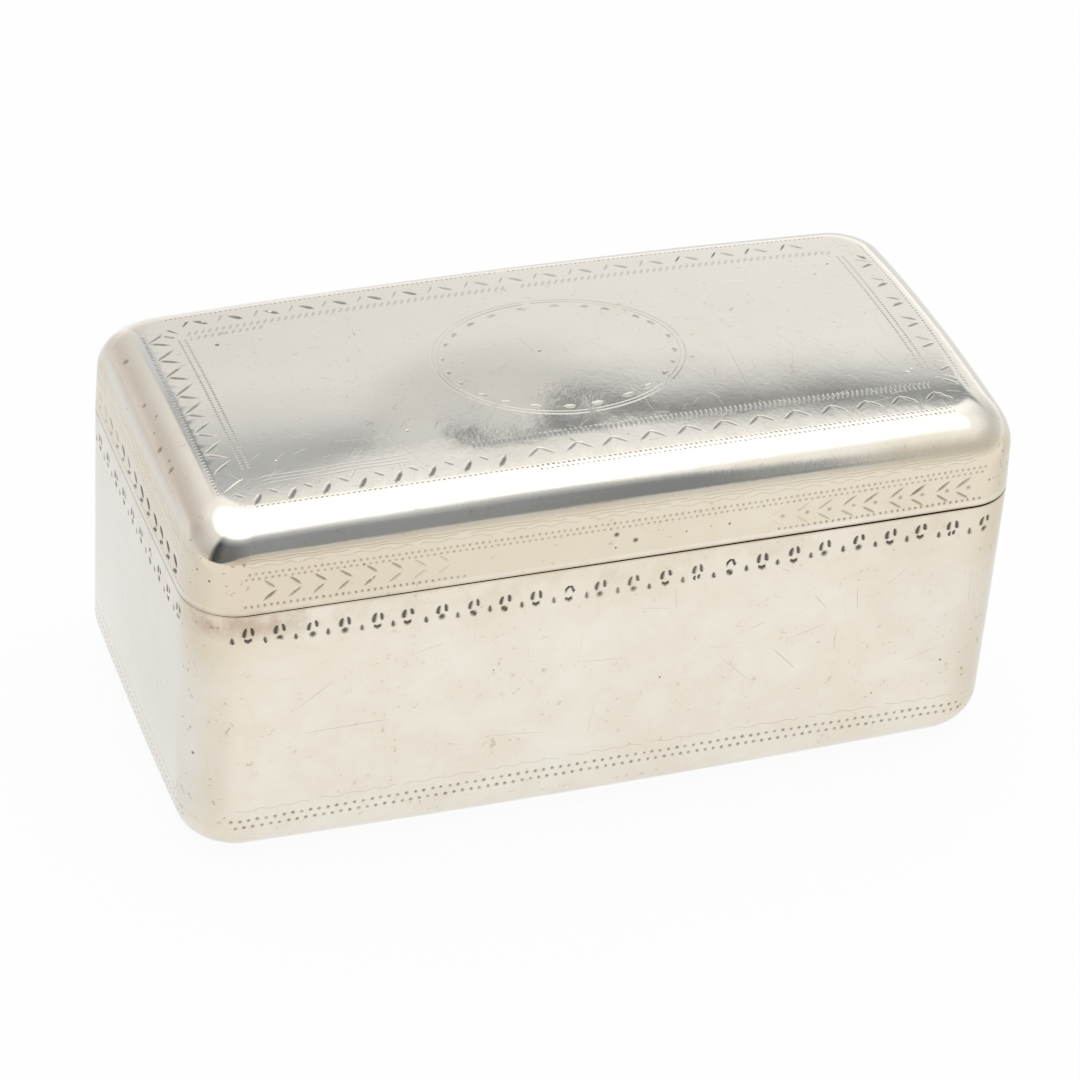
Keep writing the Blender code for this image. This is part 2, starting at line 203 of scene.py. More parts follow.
class SnuffBoxOrnament(bpy.types.PropertyGroup):
    """The marks of the punches and gravers."""

    cut_depth: length("Cut depth", 0.00010, "Depth of a full bright cut")
    foot_pitch: length("Foot row pitch", 0.00089, "Distance between punched dots near the foot")
    foot_dot: length("Foot dot", 0.00060, "Width of a punched dot near the foot")
    lid_pitch: length("Lid row pitch", 0.00064, "Distance between punched dots on the lid")
    lid_dot: length("Lid dot", 0.00049, "Width of a punched dot on the lid")
    trefoil_pitch: length("Trefoil pitch", 0.00315, "Distance between the first two trefoils")
    chevron_pitch: length("Chevron pitch", 0.00245, "Distance between chevrons on the lid's wall")


class SnuffBoxFinish(bpy.types.PropertyGroup):
    """Colours and gloss of the silver."""

    silver: colour("Silver", (0.905, 0.875, 0.80), "Clean silver")
    patina: colour("Patina", (0.80, 0.715, 0.57), "Warm film where polishing misses")
    # This brown is also used for the painted shade along the seam's gap.
    stain_and_gap_shade: colour("Stain", (0.50, 0.38, 0.28), "Brown stain by the seam")
    tarnish: colour("Tarnish", (0.045, 0.038, 0.030), "Black that stays in the cuts")
    gloss: share("Roughness", 0.085, "Roughness of the polished silver")
    inside_gloss: share("Inside roughness", 0.34, "Roughness of the unpolished silver")


class SnuffBoxStage(bpy.types.PropertyGroup):
    """The plain studio round the box."""

    floor_colour: colour("Floor", (0.88, 0.88, 0.88), "Floor under the box")
    surround: colour("Surround", (1.0, 0.995, 0.975), "Tint of the pale walls round the stage")
    warm_side: colour("Left side", (1.0, 0.96, 0.935), "Tint of the wall on the left")
    shade: colour("Shade", (0.93, 1.0, 1.10), "Tint of the shaded side of the room")


class BoxSurface:
    """Where each place of a flat sheet comes to lie on the box, as arrays of points."""

    def __init__(self, form):
        self.form = form
        self.half_length = form.box_length / 2
        self.half_width = form.box_width / 2
        self.long_side = form.box_length - 2 * form.corner_radius
        self.short_side = form.box_width - 2 * form.corner_radius
        self.corner = math.pi / 2 * form.corner_radius
        self.girth = 2 * (self.long_side + self.short_side) + 4 * self.corner
        self.foot_arc = math.pi / 2 * form.foot_round
        self.nose_arc = math.pi / 2 * form.bullnose_width
        self.shoulder = AXIS.z + form.lid_wall
        self.plateau = form.lid_wall + self.nose_arc
        self.plateau_inset = form.lid_draw_in + form.bullnose_width
        self.border_width = 5.3 * MM
        self.least_radius = 0.3 * MM

    def side_middles(self):
        """Places round the box of the middles of the front, right, back and left."""
        quarter = (self.long_side + self.short_side) / 2 + self.corner
        return {"front": 0.0, "right": quarter, "back": 2 * quarter, "left": -quarter}

    def half_side(self, side):
        """Half the straight run of a side."""
        return (self.long_side if side in LONG_SIDES else self.short_side) / 2

    def plan(self, u, inset, side_bow, end_bow):
        """The plan at one level: an oblong with round corners and swelling sides."""
        form = self.form
        radius = np.maximum(form.corner_radius - form.corner_tightening * inset, self.least_radius)
        reach_x = self.half_length - inset
        reach_y = self.half_width - inset
        straight_x = reach_x - radius
        straight_y = reach_y - radius
        run = np.mod(u + self.long_side / 2, self.girth)
        x = np.zeros_like(run)
        y = np.zeros_like(run)
        start = 0.0
        corners = ((1, -1), (1, 1), (-1, 1), (-1, -1))
        ways = ((1, 0), (0, 1), (-1, 0), (0, -1))
        for quarter, ((side_x, side_y), (way_x, way_y)) in enumerate(zip(corners, ways)):
            side = self.short_side if quarter % 2 else self.long_side
            here = (run >= start) & (run <= start + side)
            along = 2 * (run - start) / side - 1
            x = np.where(here, way_x * along * straight_x + way_y * reach_x, x)
            y = np.where(here, way_y * along * straight_y - way_x * reach_y, y)
            start += side
            here = (run >= start) & (run <= start + self.corner)
            angle = (quarter - 1) * math.pi / 2 + (run - start) / form.corner_radius
            x = np.where(here, side_x * straight_x + radius * np.cos(angle), x)
            y = np.where(here, side_y * straight_y + radius * np.sin(angle), y)
            start += self.corner
        swell_x = 1 + end_bow / reach_x * (1 - (y / reach_y) ** 2)
        swell_y = 1 + side_bow / reach_y * (1 - (x / reach_x) ** 2)
        return x * swell_x, y * swell_y

    def crown(self, x, y):
        along = self.form.crown_along * (1 - (x / self.half_length) ** 2)
        return along + self.form.crown_across * (1 - (y / self.half_width) ** 2)

    def body(self, u, v):
        """v runs along the turned-in edge below zero, then round the foot and up the wall."""
        form = self.form
        angle = np.clip(v / form.foot_round, 0, math.pi / 2)
        inset = form.foot_round * (1 - np.sin(angle)) + np.maximum(-v, 0)
        z = form.foot_round * (1 - np.cos(angle)) + np.maximum(v - self.foot_arc, 0)
        level = z / AXIS.z
        side_bow = form.foot_side_bow + (form.seam_side_bow - form.foot_side_bow) * level
        end_bow = form.foot_end_bow + (form.seam_end_bow - form.foot_end_bow) * level
        x, y = self.plan(u, inset, side_bow, end_bow)
        return np.stack([x, y, z], axis=-1)

    def body_v(self, z):
        """The place along the body's sheet of a height on its upright wall."""
        return z - self.form.foot_round + self.foot_arc

    def lid(self, u, v):
        """v runs from the seam up the lid's wall and over the bullnose to the top's edge."""
        form = self.form
        level = np.clip(v / form.lid_wall, 0, 1)
        angle = np.clip((v - form.lid_wall) / form.bullnose_width, 0, math.pi / 2)
        inset = form.lid_draw_in * level + form.bullnose_width * (1 - np.cos(angle))
        inset = inset + np.maximum(v - self.plateau, 0)
        side_bow = form.seam_side_bow + (form.shoulder_side_bow - form.seam_side_bow) * level
        end_bow = form.seam_end_bow + (form.shoulder_end_bow - form.seam_end_bow) * level
        x, y = self.plan(u, inset, side_bow, end_bow)
        z = AXIS.z + np.minimum(v, form.lid_wall)
        z = z + np.sin(angle) * (form.bullnose_rise + self.crown(x, y))
        return np.stack([x, y, z], axis=-1)

    def lid_place(self, x, y):
        """The place on the lid's sheet, round and up, of a place seen from above near its edge."""
        form = self.form
        low, high = 0.0, self.plateau_inset + 2 * self.border_width
        halvings, swell_rounds = 40, 3
        for _ in range(halvings):
            inset = (low + high) / 2
            radius = max(form.corner_radius - form.corner_tightening * inset, self.least_radius)
            reach_x, reach_y = self.half_length - inset, self.half_width - inset
            plain_x, plain_y = abs(x), abs(y)
            for _ in range(swell_rounds):
                swell_x = 1 + form.shoulder_end_bow / reach_x * (1 - (plain_y / reach_y) ** 2)
                swell_y = 1 + form.shoulder_side_bow / reach_y * (1 - (plain_x / reach_x) ** 2)
                plain_x, plain_y = abs(x) / swell_x, abs(y) / swell_y
            past_x = plain_x - (reach_x - radius)
            past_y = plain_y - (reach_y - radius)
            outside = math.hypot(max(past_x, 0), max(past_y, 0)) + min(max(past_x, past_y), 0) - radius
            if outside > 0:
                high = inset
            else:
                low = inset
        if past_x <= 0 and past_y > past_x:
            run = plain_x / (reach_x - radius) * self.long_side / 2
        elif past_y <= 0:
            run = self.long_side / 2 + self.corner + (1 - plain_y / (reach_y - radius)) * self.short_side / 2
        else:
            run = self.long_side / 2 + form.corner_radius * math.atan2(past_x, past_y)
        u = math.copysign(run if y < 0 else self.girth / 2 - run, x)
        if inset > self.plateau_inset:
            return u, self.plateau + inset - self.plateau_inset
        angle = math.acos(1 - max(inset - form.lid_draw_in, 0) / form.bullnose_width)
        return u, form.lid_wall + form.bullnose_width * angle

    def top(self, x, y):
        z = self.shoulder + self.form.bullnose_rise + self.crown(x, y)
        return np.stack([x, y, z], axis=-1)

    def rim(self, u, up, depth):
        """Height of a rim at each place round the box, less what the hinge and its stop take.

        up is 1 for the lid and -1 for the body, and depth is how far under the face. The seam is
        wider towards the right and draws in at both ends.
        """
        form = self.form
        x, y = self.plan(u, depth, form.seam_side_bow, form.seam_end_bow)
        trough = KNUCKLE_RADIUS + form.seat_gap
        half_opening = LID_OPENING / 2
        apex = AXIS.y - form.seat_gap / 2 / math.sin(half_opening)
        bevel = np.maximum(y - apex, 0) * math.tan(half_opening)
        channel = np.sqrt(np.maximum(trough ** 2 - (y - AXIS.y) ** 2, 0))
        channel = np.where(np.abs(x) < HALF_HINGE + form.seat_gap, channel, 0)
        channel = np.where(y > 0, channel, 0)
        opening = 0.90 + 0.24 * np.clip(x / (30 * MM), -1, 1)
        left_end = 0.7 * np.clip(-x / (5 * MM) - 7.4, 0, 1)
        right_end = 0.6 * np.clip(x / (3 * MM) - 13, 0, 1)
        gap = form.rim_gap * opening * (1 - left_end) * (1 - right_end)
        return AXIS.z + up * np.maximum(np.maximum(bevel, channel), gap)


def hand_marks(points):
    """How far the raised sheet stands off its true form, as a hammer and years of use leave it."""
    x, y, z = (points[..., axis] / MM for axis in range(3))
    slow = np.sin(0.16 * x + 0.31 * y + 0.9) * np.sin(0.23 * y - 0.11 * x + 0.4 + 0.19 * z)
    quick = np.sin(0.41 * x - 0.23 * y + 0.17 * z) * np.sin(0.37 * y + 0.29 * z + 0.12 * x + 2.0)
    lift = 0.012 * slow + 0.004 * quick - 0.018 - 0.022 * np.clip(z - 38, 0, 1)
    for dent_x, dent_y, reach, depth in TOP_DENTS:
        away = ((x - dent_x) ** 2 + (y - dent_y) ** 2) / reach ** 2
        lift = lift - depth * np.exp(-away) * np.clip(z - 38, 0, 1)
    return lift * MM * np.clip(z / 5, 0, 1)


def raised(surface, u, v):
    """Points of a surface with the hand's marks on it, and the outward normal at each."""
    step = 0.05 * MM

    def bare(at_u, at_v):
        points = surface(at_u, at_v)
        across = surface(at_u + step, at_v) - surface(at_u - step, at_v)
        along = surface(at_u, at_v + step) - surface(at_u, at_v - step)
        normal = np.cross(across, along)
        normal /= np.maximum(np.linalg.norm(normal, axis=-1, keepdims=True), 1e-20)
        return points + normal * hand_marks(points)[..., None], normal

    points, plain = bare(u, v)
    across = bare(u + step, v)[0] - bare(u - step, v)[0]
    along = bare(u, v + step)[0] - bare(u, v - step)[0]
    normal = np.cross(across, along)
    size = np.linalg.norm(normal, axis=-1, keepdims=True)
    normal = np.where(size > 1e-14, normal / np.maximum(size, 1e-20), plain)
    return points, normal


class FlatSheet:
    """A sheet before it is raised: the outlines and keels of its cuts, in flat places."""

    def __init__(self, seed, girth=0.0):
        self.places = []
        self.depths = []
        self.grime = []
        self.edges = []
        self.girth = girth
        self.seen_from = None
        self.hand = random.Random(seed)

    def home(self, places, reaches):
        """Bring a mark's places round the box to this sheet, or give none where its ends meet.

        reaches is how far the mark goes to either side at each of its places.
        """
        if not self.girth:
            return places
        laid = [self.seen_from(*place) for place in places] if self.seen_from else places
        turns = {round(u / self.girth) for u, _ in laid}
        left = [u - self.girth * round(u / self.girth) for u, _ in laid]
        across = max(left) - min(left) > self.girth / 2
        clear = all(self.girth / 2 - abs(u) > reach + 0.02 * MM for u, reach in zip(left, reaches))
        if across or len(turns) > 1 or not clear:
            return []
        if self.seen_from:
            return places
        shift = self.girth * turns.pop()
        return [(u - shift, v) for u, v in places]

    def line(self, places, depths, grime, closed=False):
        first = len(self.places)
        if self.seen_from:
            places = [self.seen_from(*place) for place in places]
        self.places.extend(places)
        self.depths.extend(depths)
        self.grime.extend(grime if depth > 0 else 0.0 for depth in depths)
        count = len(places)
        for this in range(count if closed else count - 1):
            self.edges.append((first + this, first + (this + 1) % count))

    def punch(self, place, width, depth, grime, sides=6):
        """A round dot, deepest at its middle. grime is how black the cut has gone, up to 1."""
        turn = self.hand.uniform(0, math.pi)
        for u, v in self.home([place], [width]):
            ring = []
            for side in range(sides):
                angle = turn + 2 * math.pi * side / sides
                ring.append((u + width / 2 * math.cos(angle), v + width / 2 * math.sin(angle)))
            self.line(ring, [0.0] * sides, grime, closed=True)
            self.line([(u, v)], [depth], grime)

    def carve(self, places, halves, depths, grime):
        """A cut with its keel along the given places, half as wide at each as given."""
        places = self.home(places, halves)
        if not places:
            return
        left, right = [], []
        for before, here, after, half in zip(places, places[1:], places[2:], halves[1:]):
            run = Vector(after) - Vector(before)
            side = Vector((-run.y, run.x)).normalized() * half
            left.append(tuple(Vector(here) + side))
            right.append(tuple(Vector(here) - side))
        first = len(self.places)
        self.line(places, [0.0, *depths[1:-1], 0.0], grime)
        last = len(self.places) - 1
        for bank in (left, right):
            start_bank = len(self.places)
            self.line(bank, [0.0] * len(bank), grime)
            self.edges.append((first, start_bank))
            self.edges.append((len(self.places) - 1, last))

    def stroke(self, start, end, width, depth, grime, bulge=0.0, steps=4, lean=0.6):
        """A single cut, drawn out fine at both ends.

        bulge bows it sideways, and lean is how far along it is widest and deepest.
        """
        run = Vector(end) - Vector(start)
        side = Vector((-run.y, run.x)).normalized()
        places, halves, depths = [], [], []
        for step in range(steps + 1):
            along = step / steps
            skewed = along ** (math.log(0.5) / math.log(lean))
            swell = max(4 * skewed * (1 - skewed), 0.0)
            places.append(tuple(Vector(start) + run * along + side * (bulge * 4 * along * (1 - along))))
            halves.append(width / 2 * math.sqrt(swell))
            depths.append(depth * swell)
        self.carve(places, halves, depths, grime)

    def nick(self, u, v, shape, depth, grime, **manner):
        """A stroke from a table, whose ends and width are in millimetres from a place."""
        start_u, start_v, end_u, end_v, width = shape
        start, end = (u + start_u * MM, v + start_v * MM), (u + end_u * MM, v + end_v * MM)
        self.stroke(start, end, width * MM, depth, grime, **manner)

    def carve_keel(self, keel, u, v, depth, grime):
        """A cut from a table, whose keel and half widths are in millimetres from a place."""
        places = [(u + x * MM, v + y * MM) for x, y, _ in keel]
        self.carve(places, [half * MM for _, _, half in keel], [depth] * len(keel), grime)

    def scribe(self, places, width, depth, grime):
        """A line of one width and depth."""
        self.carve(places, [width / 2] * len(places), [depth] * len(places), grime)

    def jitter(self, size):
        return self.hand.uniform(-size, size)

    def triangulate(self, border, ground, clear):
        """Fill the border with triangles round every cut.

        ground is the sheet's own points, which keep clear of the cuts by the given distance.
        """
        tree = kdtree.KDTree(len(self.places) + 1)
        for index, (u, v) in enumerate(self.places):
            tree.insert((u, v, 0), index)
        tree.insert((1.0, 1.0, 1.0), len(self.places))
        tree.balance()
        kept = [place for place in ground if tree.find((*place, 0))[2] > clear]
        first = len(self.places)
        places = self.places + list(border) + kept
        depths = self.depths + [0.0] * (len(border) + len(kept))
        grime = self.grime + [0.0] * (len(border) + len(kept))
        edges = list(self.edges)
        for this in range(len(border)):
            edges.append((first + this, first + (this + 1) % len(border)))
        flat = [Vector((u / MM, v / MM)) for u, v in places]
        found = delaunay_2d_cdt(flat, edges, [], 1, 1e-6)
        corners, faces, origins = found[0], found[2], found[3]
        deep = np.array([max((depths[old] for old in old_ones), default=0.0) for old_ones in origins])
        black = np.array([max((grime[old] for old in old_ones), default=0.0) for old_ones in origins])
        return np.array([tuple(corner) for corner in corners]) * MM, deep, black, faces


class RaisedSheet:
    """A mesh in the making, which knows the true normal and the cut at each of its points."""

    def __init__(self):
        self.shape = bmesh.new()
        self.cut = self.shape.verts.layers.float.new("cut")
        self.facing = self.shape.verts.layers.float_vector.new("facing")
        self.crisp = self.shape.faces.layers.int.new("crisp")

    def lay(self, surface, flat, inward=0.0):
        """Lay a flat sheet on a surface, on its face or at a depth under it."""
        places, deep, black, faces = flat
        points, normals = raised(surface, places[:, 0], places[:, 1])
        way = -1.0 if inward else 1.0
        made = []
        for point, normal, depth, grime in zip(points, normals, deep, black):
            vert = self.shape.verts.new(point - normal * (depth + inward))
            vert[self.cut] = grime
            vert[self.facing] = normal * way
            made.append(vert)
        for corners in faces:
            order = corners[::-1] if inward else corners
            face = self.shape.faces.new([made[corner] for corner in order])
            face[self.crisp] = int(not inward and max(deep[corner] for corner in corners) > 0)
        return made

    def weld(self, *rows):
        """Join the open edges of sheets that meet, where their places differ by a hair."""
        rim = [vert for row in rows for vert in row if any(len(e.link_faces) == 1 for e in vert.link_edges)]
        above = [vert for vert in rim if vert.co.z > AXIS.z + 4 * MM]
        bmesh.ops.remove_doubles(self.shape, verts=above, dist=WELD_REACH)

    def join(self):
        bmesh.ops.remove_doubles(self.shape, verts=self.shape.verts, dist=SAME_PLACE)

    def close_edges(self):
        """Bridge each open edge of the face to the open edge of the back beside it."""
        self.join()
        loops = open_loops(self.shape)
        while loops:
            loop = loops.pop()
            middle = loop_middle(loop)
            other = min(loops, key=lambda found: (loop_middle(found) - middle).length)
            loops.remove(other)
            made = bmesh.ops.bridge_loops(self.shape, edges=loop + other)
            for face in made["faces"]:
                face[self.crisp] = 1

    def finish(self, name, material, body):
        self.shape.faces.ensure_lookup_table()
        bmesh.ops.triangulate(self.shape, faces=[f for f in self.shape.faces if len(f.verts) > 4])
        mesh = bpy.data.meshes.new(name)
        self.shape.to_mesh(mesh)
        self.shape.free()
        give_true_normals(mesh)
        return place_piece(name, mesh, material, body)


def open_loops(shape):
    """The rows of edges that have a face on one side only, each as a list, in a settled order."""
    left = dict.fromkeys(edge for edge in shape.edges if len(edge.link_faces) == 1)
    loops = []
    while left:
        edge, _ = left.popitem()
        loop = [edge]
        queue = list(edge.verts)
        while queue:
            vert = queue.pop()
            for near in vert.link_edges:
                if near in left:
                    del left[near]
                    loop.append(near)
                    queue.extend(near.verts)
        loops.append(loop)
    return loops


def loop_middle(loop):
    total = Vector((0, 0, 0))
    for edge in loop:
        total += (edge.verts[0].co + edge.verts[1].co) / 2
    return total / len(loop)


def numbers_of(items, name):
    """A whole number that each item has, as an array."""
    found = np.zeros(len(items), np.int32)
    items.foreach_get(name, found)
    return found


def vectors_of(items, name):
    """A vector that each item has, as an array of rows."""
    found = np.zeros(3 * len(items), np.float32)
    items.foreach_get(name, found)
    return found.reshape(-1, 3)


def give_true_normals(mesh):
    """Shade the smooth metal by its true normals and each cut by its own facets."""
    facing = vectors_of(mesh.attributes["facing"].data, "vector")
    crisp = numbers_of(mesh.attributes["crisp"].data, "value")
    flat = vectors_of(mesh.polygons, "normal")
    owner = np.repeat(np.arange(len(mesh.polygons)), numbers_of(mesh.polygons, "loop_total"))
    corner = numbers_of(mesh.loops, "vertex_index")
    normals = np.where(crisp[owner][:, None] > 0, flat[owner], facing[corner])
    mesh.shade_smooth()
    mesh.normals_split_custom_set(normals)
    mesh.attributes.remove(mesh.attributes["facing"])
    mesh.attributes.remove(mesh.attributes["crisp"])


def place_piece(name, mesh, material, body):
    piece = bpy.data.objects.new(name, mesh)
    bpy.context.scene.collection.objects.link(piece)
    mesh.materials.append(material)
    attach(piece, body)
    return piece


def spread(start, end, pitch):
    """Evenly spaced places from start to end, about a pitch apart."""
    count = max(int(round(abs(end - start) / pitch)), 1)
    return [start + (end - start) * step / count for step in range(count + 1)]


def columns(surface):
    """Places round the box where its sheets have their upright edges."""
    corner_steps = 14
    places = []
    start = -surface.long_side / 2
    for quarter in range(4):
        side = surface.short_side if quarter % 2 else surface.long_side
        places.extend(spread(start, start + side, MESH_STEP)[:-1])
        start += side
        places.extend(start + surface.corner * step / corner_steps for step in range(corner_steps))
        start += surface.corner
    hinge_end = HALF_HINGE + surface.form.seat_gap
    nick = 0.01 * MM
    back = surface.side_middles()["back"]
    for end in (-hinge_end, hinge_end):
        places.extend((back + end - nick, back + end + nick))
    half = surface.girth / 2
    turned = sorted((place + half) % surface.girth - half for place in places)
    kept = [-half]
    for place in turned:
        if place - kept[-1] > 0.9 * nick and half - place > nick:
            kept.append(place)
    return kept + [half]


def border_of(places, low, high, levels):
    """The outline of a flat wrap between a low and a high place at each column."""
    bottom = list(zip(places, low))
    top = list(zip(places, high))
    inner = [level for level in levels if low[0] + 0.1 * MM < level < high[0] - 0.1 * MM]
    rise = [(places[-1], level) for level in inner]
    fall = [(places[0], level) for level in reversed(inner)]
    return bottom + rise + top[::-1] + fall


def wrap_ground(places, low, high, levels):
    """The inner points of a wrap: the given levels where they lie between its edges."""
    margin = 0.12 * MM
    inner = list(zip(places, low, high))[1:-1]
    return [(place, level) for place, bottom, top in inner for level in levels
            if bottom + margin < level < top - margin]


def back_grid(places, low, high, levels):
    """A plain wrap for the back of a sheet, with as many rows at every column."""
    rows = len(levels)
    flat = [(place, bottom + (top - bottom) * level)
            for place, bottom, top in zip(places, low, high) for level in levels]
    firsts = [column * rows + row for column in range(len(places) - 1) for row in range(rows - 1)]
    faces = [(first, first + rows, first + rows + 1, first + 1) for first in firsts]
    uncut = np.zeros(len(flat))
    return np.array(flat), uncut, uncut, faces


def at(value, place):
    """A value that is the same all along a row, or that changes with the place."""
    return value(place) if callable(value) else value


def dotted_row(sheet, start, end, height, pitch, width, depth, grime):
    """A row of punched dots along a side. height and depth may change along the row."""
    for place in spread(start, end, pitch):
        deep = at(depth, place)
        if deep > LEAST_DEPTH:
            spot = (place + sheet.jitter(pitch * 0.05), at(height, place) + sheet.jitter(pitch * 0.04))
            wide = width * sheet.hand.uniform(0.88, 1.06)
            sheet.punch(spot, wide, deep, grime * sheet.hand.uniform(0.7, 1.0))


def trefoil(sheet, u, v, depth, grime):
    """Two leaves over a drop, struck with small curved punches, no two alike.

    Some leaves meet in an arch, and the drop is a bowl, a dot, a slanted stroke or a pair.
    """
    hand = sheet.hand
    if hand.random() < 0.22:
        sheet.carve_keel(LEAF_ARCH, u, v, depth, grime)
    else:
        leaves = ((-1, 0.70, -0.2, 0.98), (1, 0.60, hand.uniform(-0.1, 0.25), 1.02))
        for side, width, low, high in leaves:
            root = (u + side * 0.40 * MM + sheet.jitter(0.04 * MM), v + low * MM + sheet.jitter(0.06 * MM))
            tip = (u + side * hand.uniform(0.14, 0.30) * MM, v + high * MM + sheet.jitter(0.09 * MM))
            width *= hand.uniform(0.85, 1.08) * MM
            sheet.stroke(root, tip, width, depth, grime, side * -0.09 * MM, 6, hand.uniform(0.34, 0.46))
    low = v - 0.58 * MM + sheet.jitter(0.05 * MM)
    kind = hand.random()
    if kind < 0.35:
        sheet.carve_keel(BOWL, u, low, depth, grime)
    elif kind < 0.6:
        sheet.punch((u + sheet.jitter(0.05 * MM), low), 0.98 * MM, depth, grime, sides=8)
    elif kind < 0.8:
        sheet.nick(u, low, SLANTED_DROP, depth, grime, steps=5, lean=0.55)
    else:
        for drop in TWIN_DROPS:
            sheet.nick(u, low, drop, depth, grime, lean=0.42)


def trefoil_row(sheet, first, count, pitch, height, depth, black):
    """Trefoils along a side, spread a little wider as they go, with a small wedge before each."""
    for number in range(count):
        place = first + number * pitch + number ** 2 * pitch * 0.0025
        deep = depth * sheet.hand.uniform(0.85, 1.1)
        grime = black(place) * sheet.hand.uniform(0.78, 0.98)
        trefoil(sheet, place + sheet.jitter(0.12 * MM), height(place) + sheet.jitter(0.08 * MM), deep, grime)
        wedge = place - pitch / 2 + sheet.jitter(0.1 * MM)
        foot = height(place) - 1.0 * MM + sheet.jitter(0.08 * MM)
        top = (wedge - 0.04 * MM, foot + sheet.hand.uniform(0.85, 1.05) * MM)
        sheet.stroke(top, (wedge + 0.04 * MM, foot), 0.64 * MM, deep, grime * 0.8, lean=0.62)


def wriggle(sheet, start, end, height, wave, swing, depth, grime):
    """A fine wavy line along a side, cut in runs of a few waves each."""
    starts = spread(start, end, 3.6 * wave)
    for first, last in zip(starts, starts[1:]):
        places = []
        for place in spread(first, last - 0.2 * wave, wave / 7):
            sway = 2 * math.pi * place / wave + 0.9 * math.sin(1.3 * place / wave)
            places.append((place, at(height, place) + swing * math.sin(sway) + sheet.jitter(0.25 * swing)))
        sheet.scribe(places, 0.16 * MM, depth, grime)


def chevron(sheet, u, v, way, reach, rise, depths, width, black):
    """Two strokes that lean in towards a point along the side and stop short of meeting."""
    for up, deep, wide in zip((1, -1), depths, width):
        if deep > LEAST_DEPTH:
            tip = (u + way * reach * sheet.hand.uniform(0.88, 1.08), v + up * 0.10 * MM)
            grime = min(deep / (0.1 * MM), 1.0) * black
            bulge = sheet.jitter(0.06 * MM)
            sheet.stroke((u, v + up * rise), tip, wide, deep, grime, bulge, lean=0.55)


def pits(sheet, spots, grime=0.75):
    """Small dark hollows eaten or knocked into the metal, each a place and a width."""
    for u, v, width in spots:
        sheet.punch((u * MM, v * MM), width * MM, PIT_DEPTH, grime, sides=9)


def scrapes(sheet, lines):
    """Long scratches, each from a place to a place with a width, in millimetres."""
    for shape in lines:
        sheet.nick(0, 0, shape, SCRATCH_DEPTH, 0.25, bulge=sheet.jitter(0.15 * MM), steps=5, lean=0.5)


class SnuffBoxBodyOperator(bpy.types.Operator):
    """Raise the body's wall with its foot, punched rows and trefoils"""

    bl_idname = "snuffbox.body_wall"
    bl_label = "Body Wall"

    def execute(self, context):
        form = context.scene.snuffbox_form
        ornament = context.scene.snuffbox_ornament
        surface = BoxSurface(form)
        places = columns(surface)
        around = np.array(places)
        low = np.full(len(places), -form.flange_width)
        high = surface.body_v(surface.rim(around, -1, 0.0))
        inner_high = surface.body_v(surface.rim(around, -1, form.sheet))
        flat = FlatSheet(11, surface.girth)
        self.cut_borders(flat, surface, ornament)
        foot = [form.foot_round * math.pi / 2 * step / 12 for step in range(13)]
        wall = spread(surface.foot_arc, surface.body_v(AXIS.z - form.rim_gap), 1.6 * MM)[1:-1]
        near_rim = [surface.body_v(AXIS.z) - 1.55 * MM]
        levels = foot + wall + near_rim
        ground = wrap_ground(places, low, high, levels)
        made = flat.triangulate(border_of(places, low, high, levels), ground, clear=0.16 * MM)
        sheet = RaisedSheet()
        sheet.lay(surface.body, made)
        back_levels = [0.0, 0.05, 0.09, 0.13, 0.17, 0.21, 0.25, 0.5, 0.75, 0.93, 1.0]
        sheet.lay(surface.body, back_grid(places, low, inner_high, back_levels), inward=form.sheet)
        sheet.close_edges()
        piece = sheet.finish("body_wall_raised", silver_material(context, "polished_silver"), "box")
        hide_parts("body_wall")
        return {"FINISHED"}

    def cut_borders(self, flat, surface, ornament):
        """Dots and a wavy line over the foot, and trefoils under the seam, on all four sides."""
        depth = ornament.cut_depth
        for side, middle in surface.side_middles().items():
            reach = surface.half_side(side) + 1.3 * MM
            bend = 0.68 * MM if side in LONG_SIDES else 0.2 * MM
            worn = 0.45 if side == "left" else 1.0

            def arch(base):
                """A row that stands higher at its middle than at its ends."""
                return lambda place: base + bend * (1 - ((place - middle) / reach) ** 2)

            for base, shift, pressure in FOOT_ROWS:
                start = middle - reach + shift * ornament.foot_pitch
                dotted_row(flat, start, start + 2 * reach, arch(base * MM), ornament.foot_pitch,
                           ornament.foot_dot, depth * pressure * worn, 0.62 * worn)
            wriggle(flat, middle - reach, middle + reach, arch(9.2 * MM), 2.3 * MM, 0.12 * MM,
                    depth * 0.12, 0.15)

            def row_height(place):
                """The row sags between the left end and the part just right of the middle."""
                along = (place - middle) / MM
                rise = 0.58 * (min(along + 4, 0) / 33) ** 2 + 0.9 * math.exp(-((along - 29) / 14) ** 2)
                drop = {"back": 1.1, "left": -0.3}.get(side, 0.0)
                return (29.85 + rise - drop) * MM

            def black(place):
                """The front's cuts are rubbed a little cleaner at the middle."""
                along = (place - middle) / MM
                return 1.0 - 0.15 * math.exp(-(along / 9) ** 2) if side == "front" else 0.95

            if side in LONG_SIDES:
                first, count, pitch = middle - 37.6 * MM, 24, ornament.trefoil_pitch
            else:
                first, count, pitch = middle - 14.3 * MM, 10, ornament.trefoil_pitch * 1.05
            trefoil_row(flat, first, count, pitch, row_height, depth * 1.2, black)
        scrapes(flat, BODY_SCRATCHES)
        pits(flat, BODY_PITS)


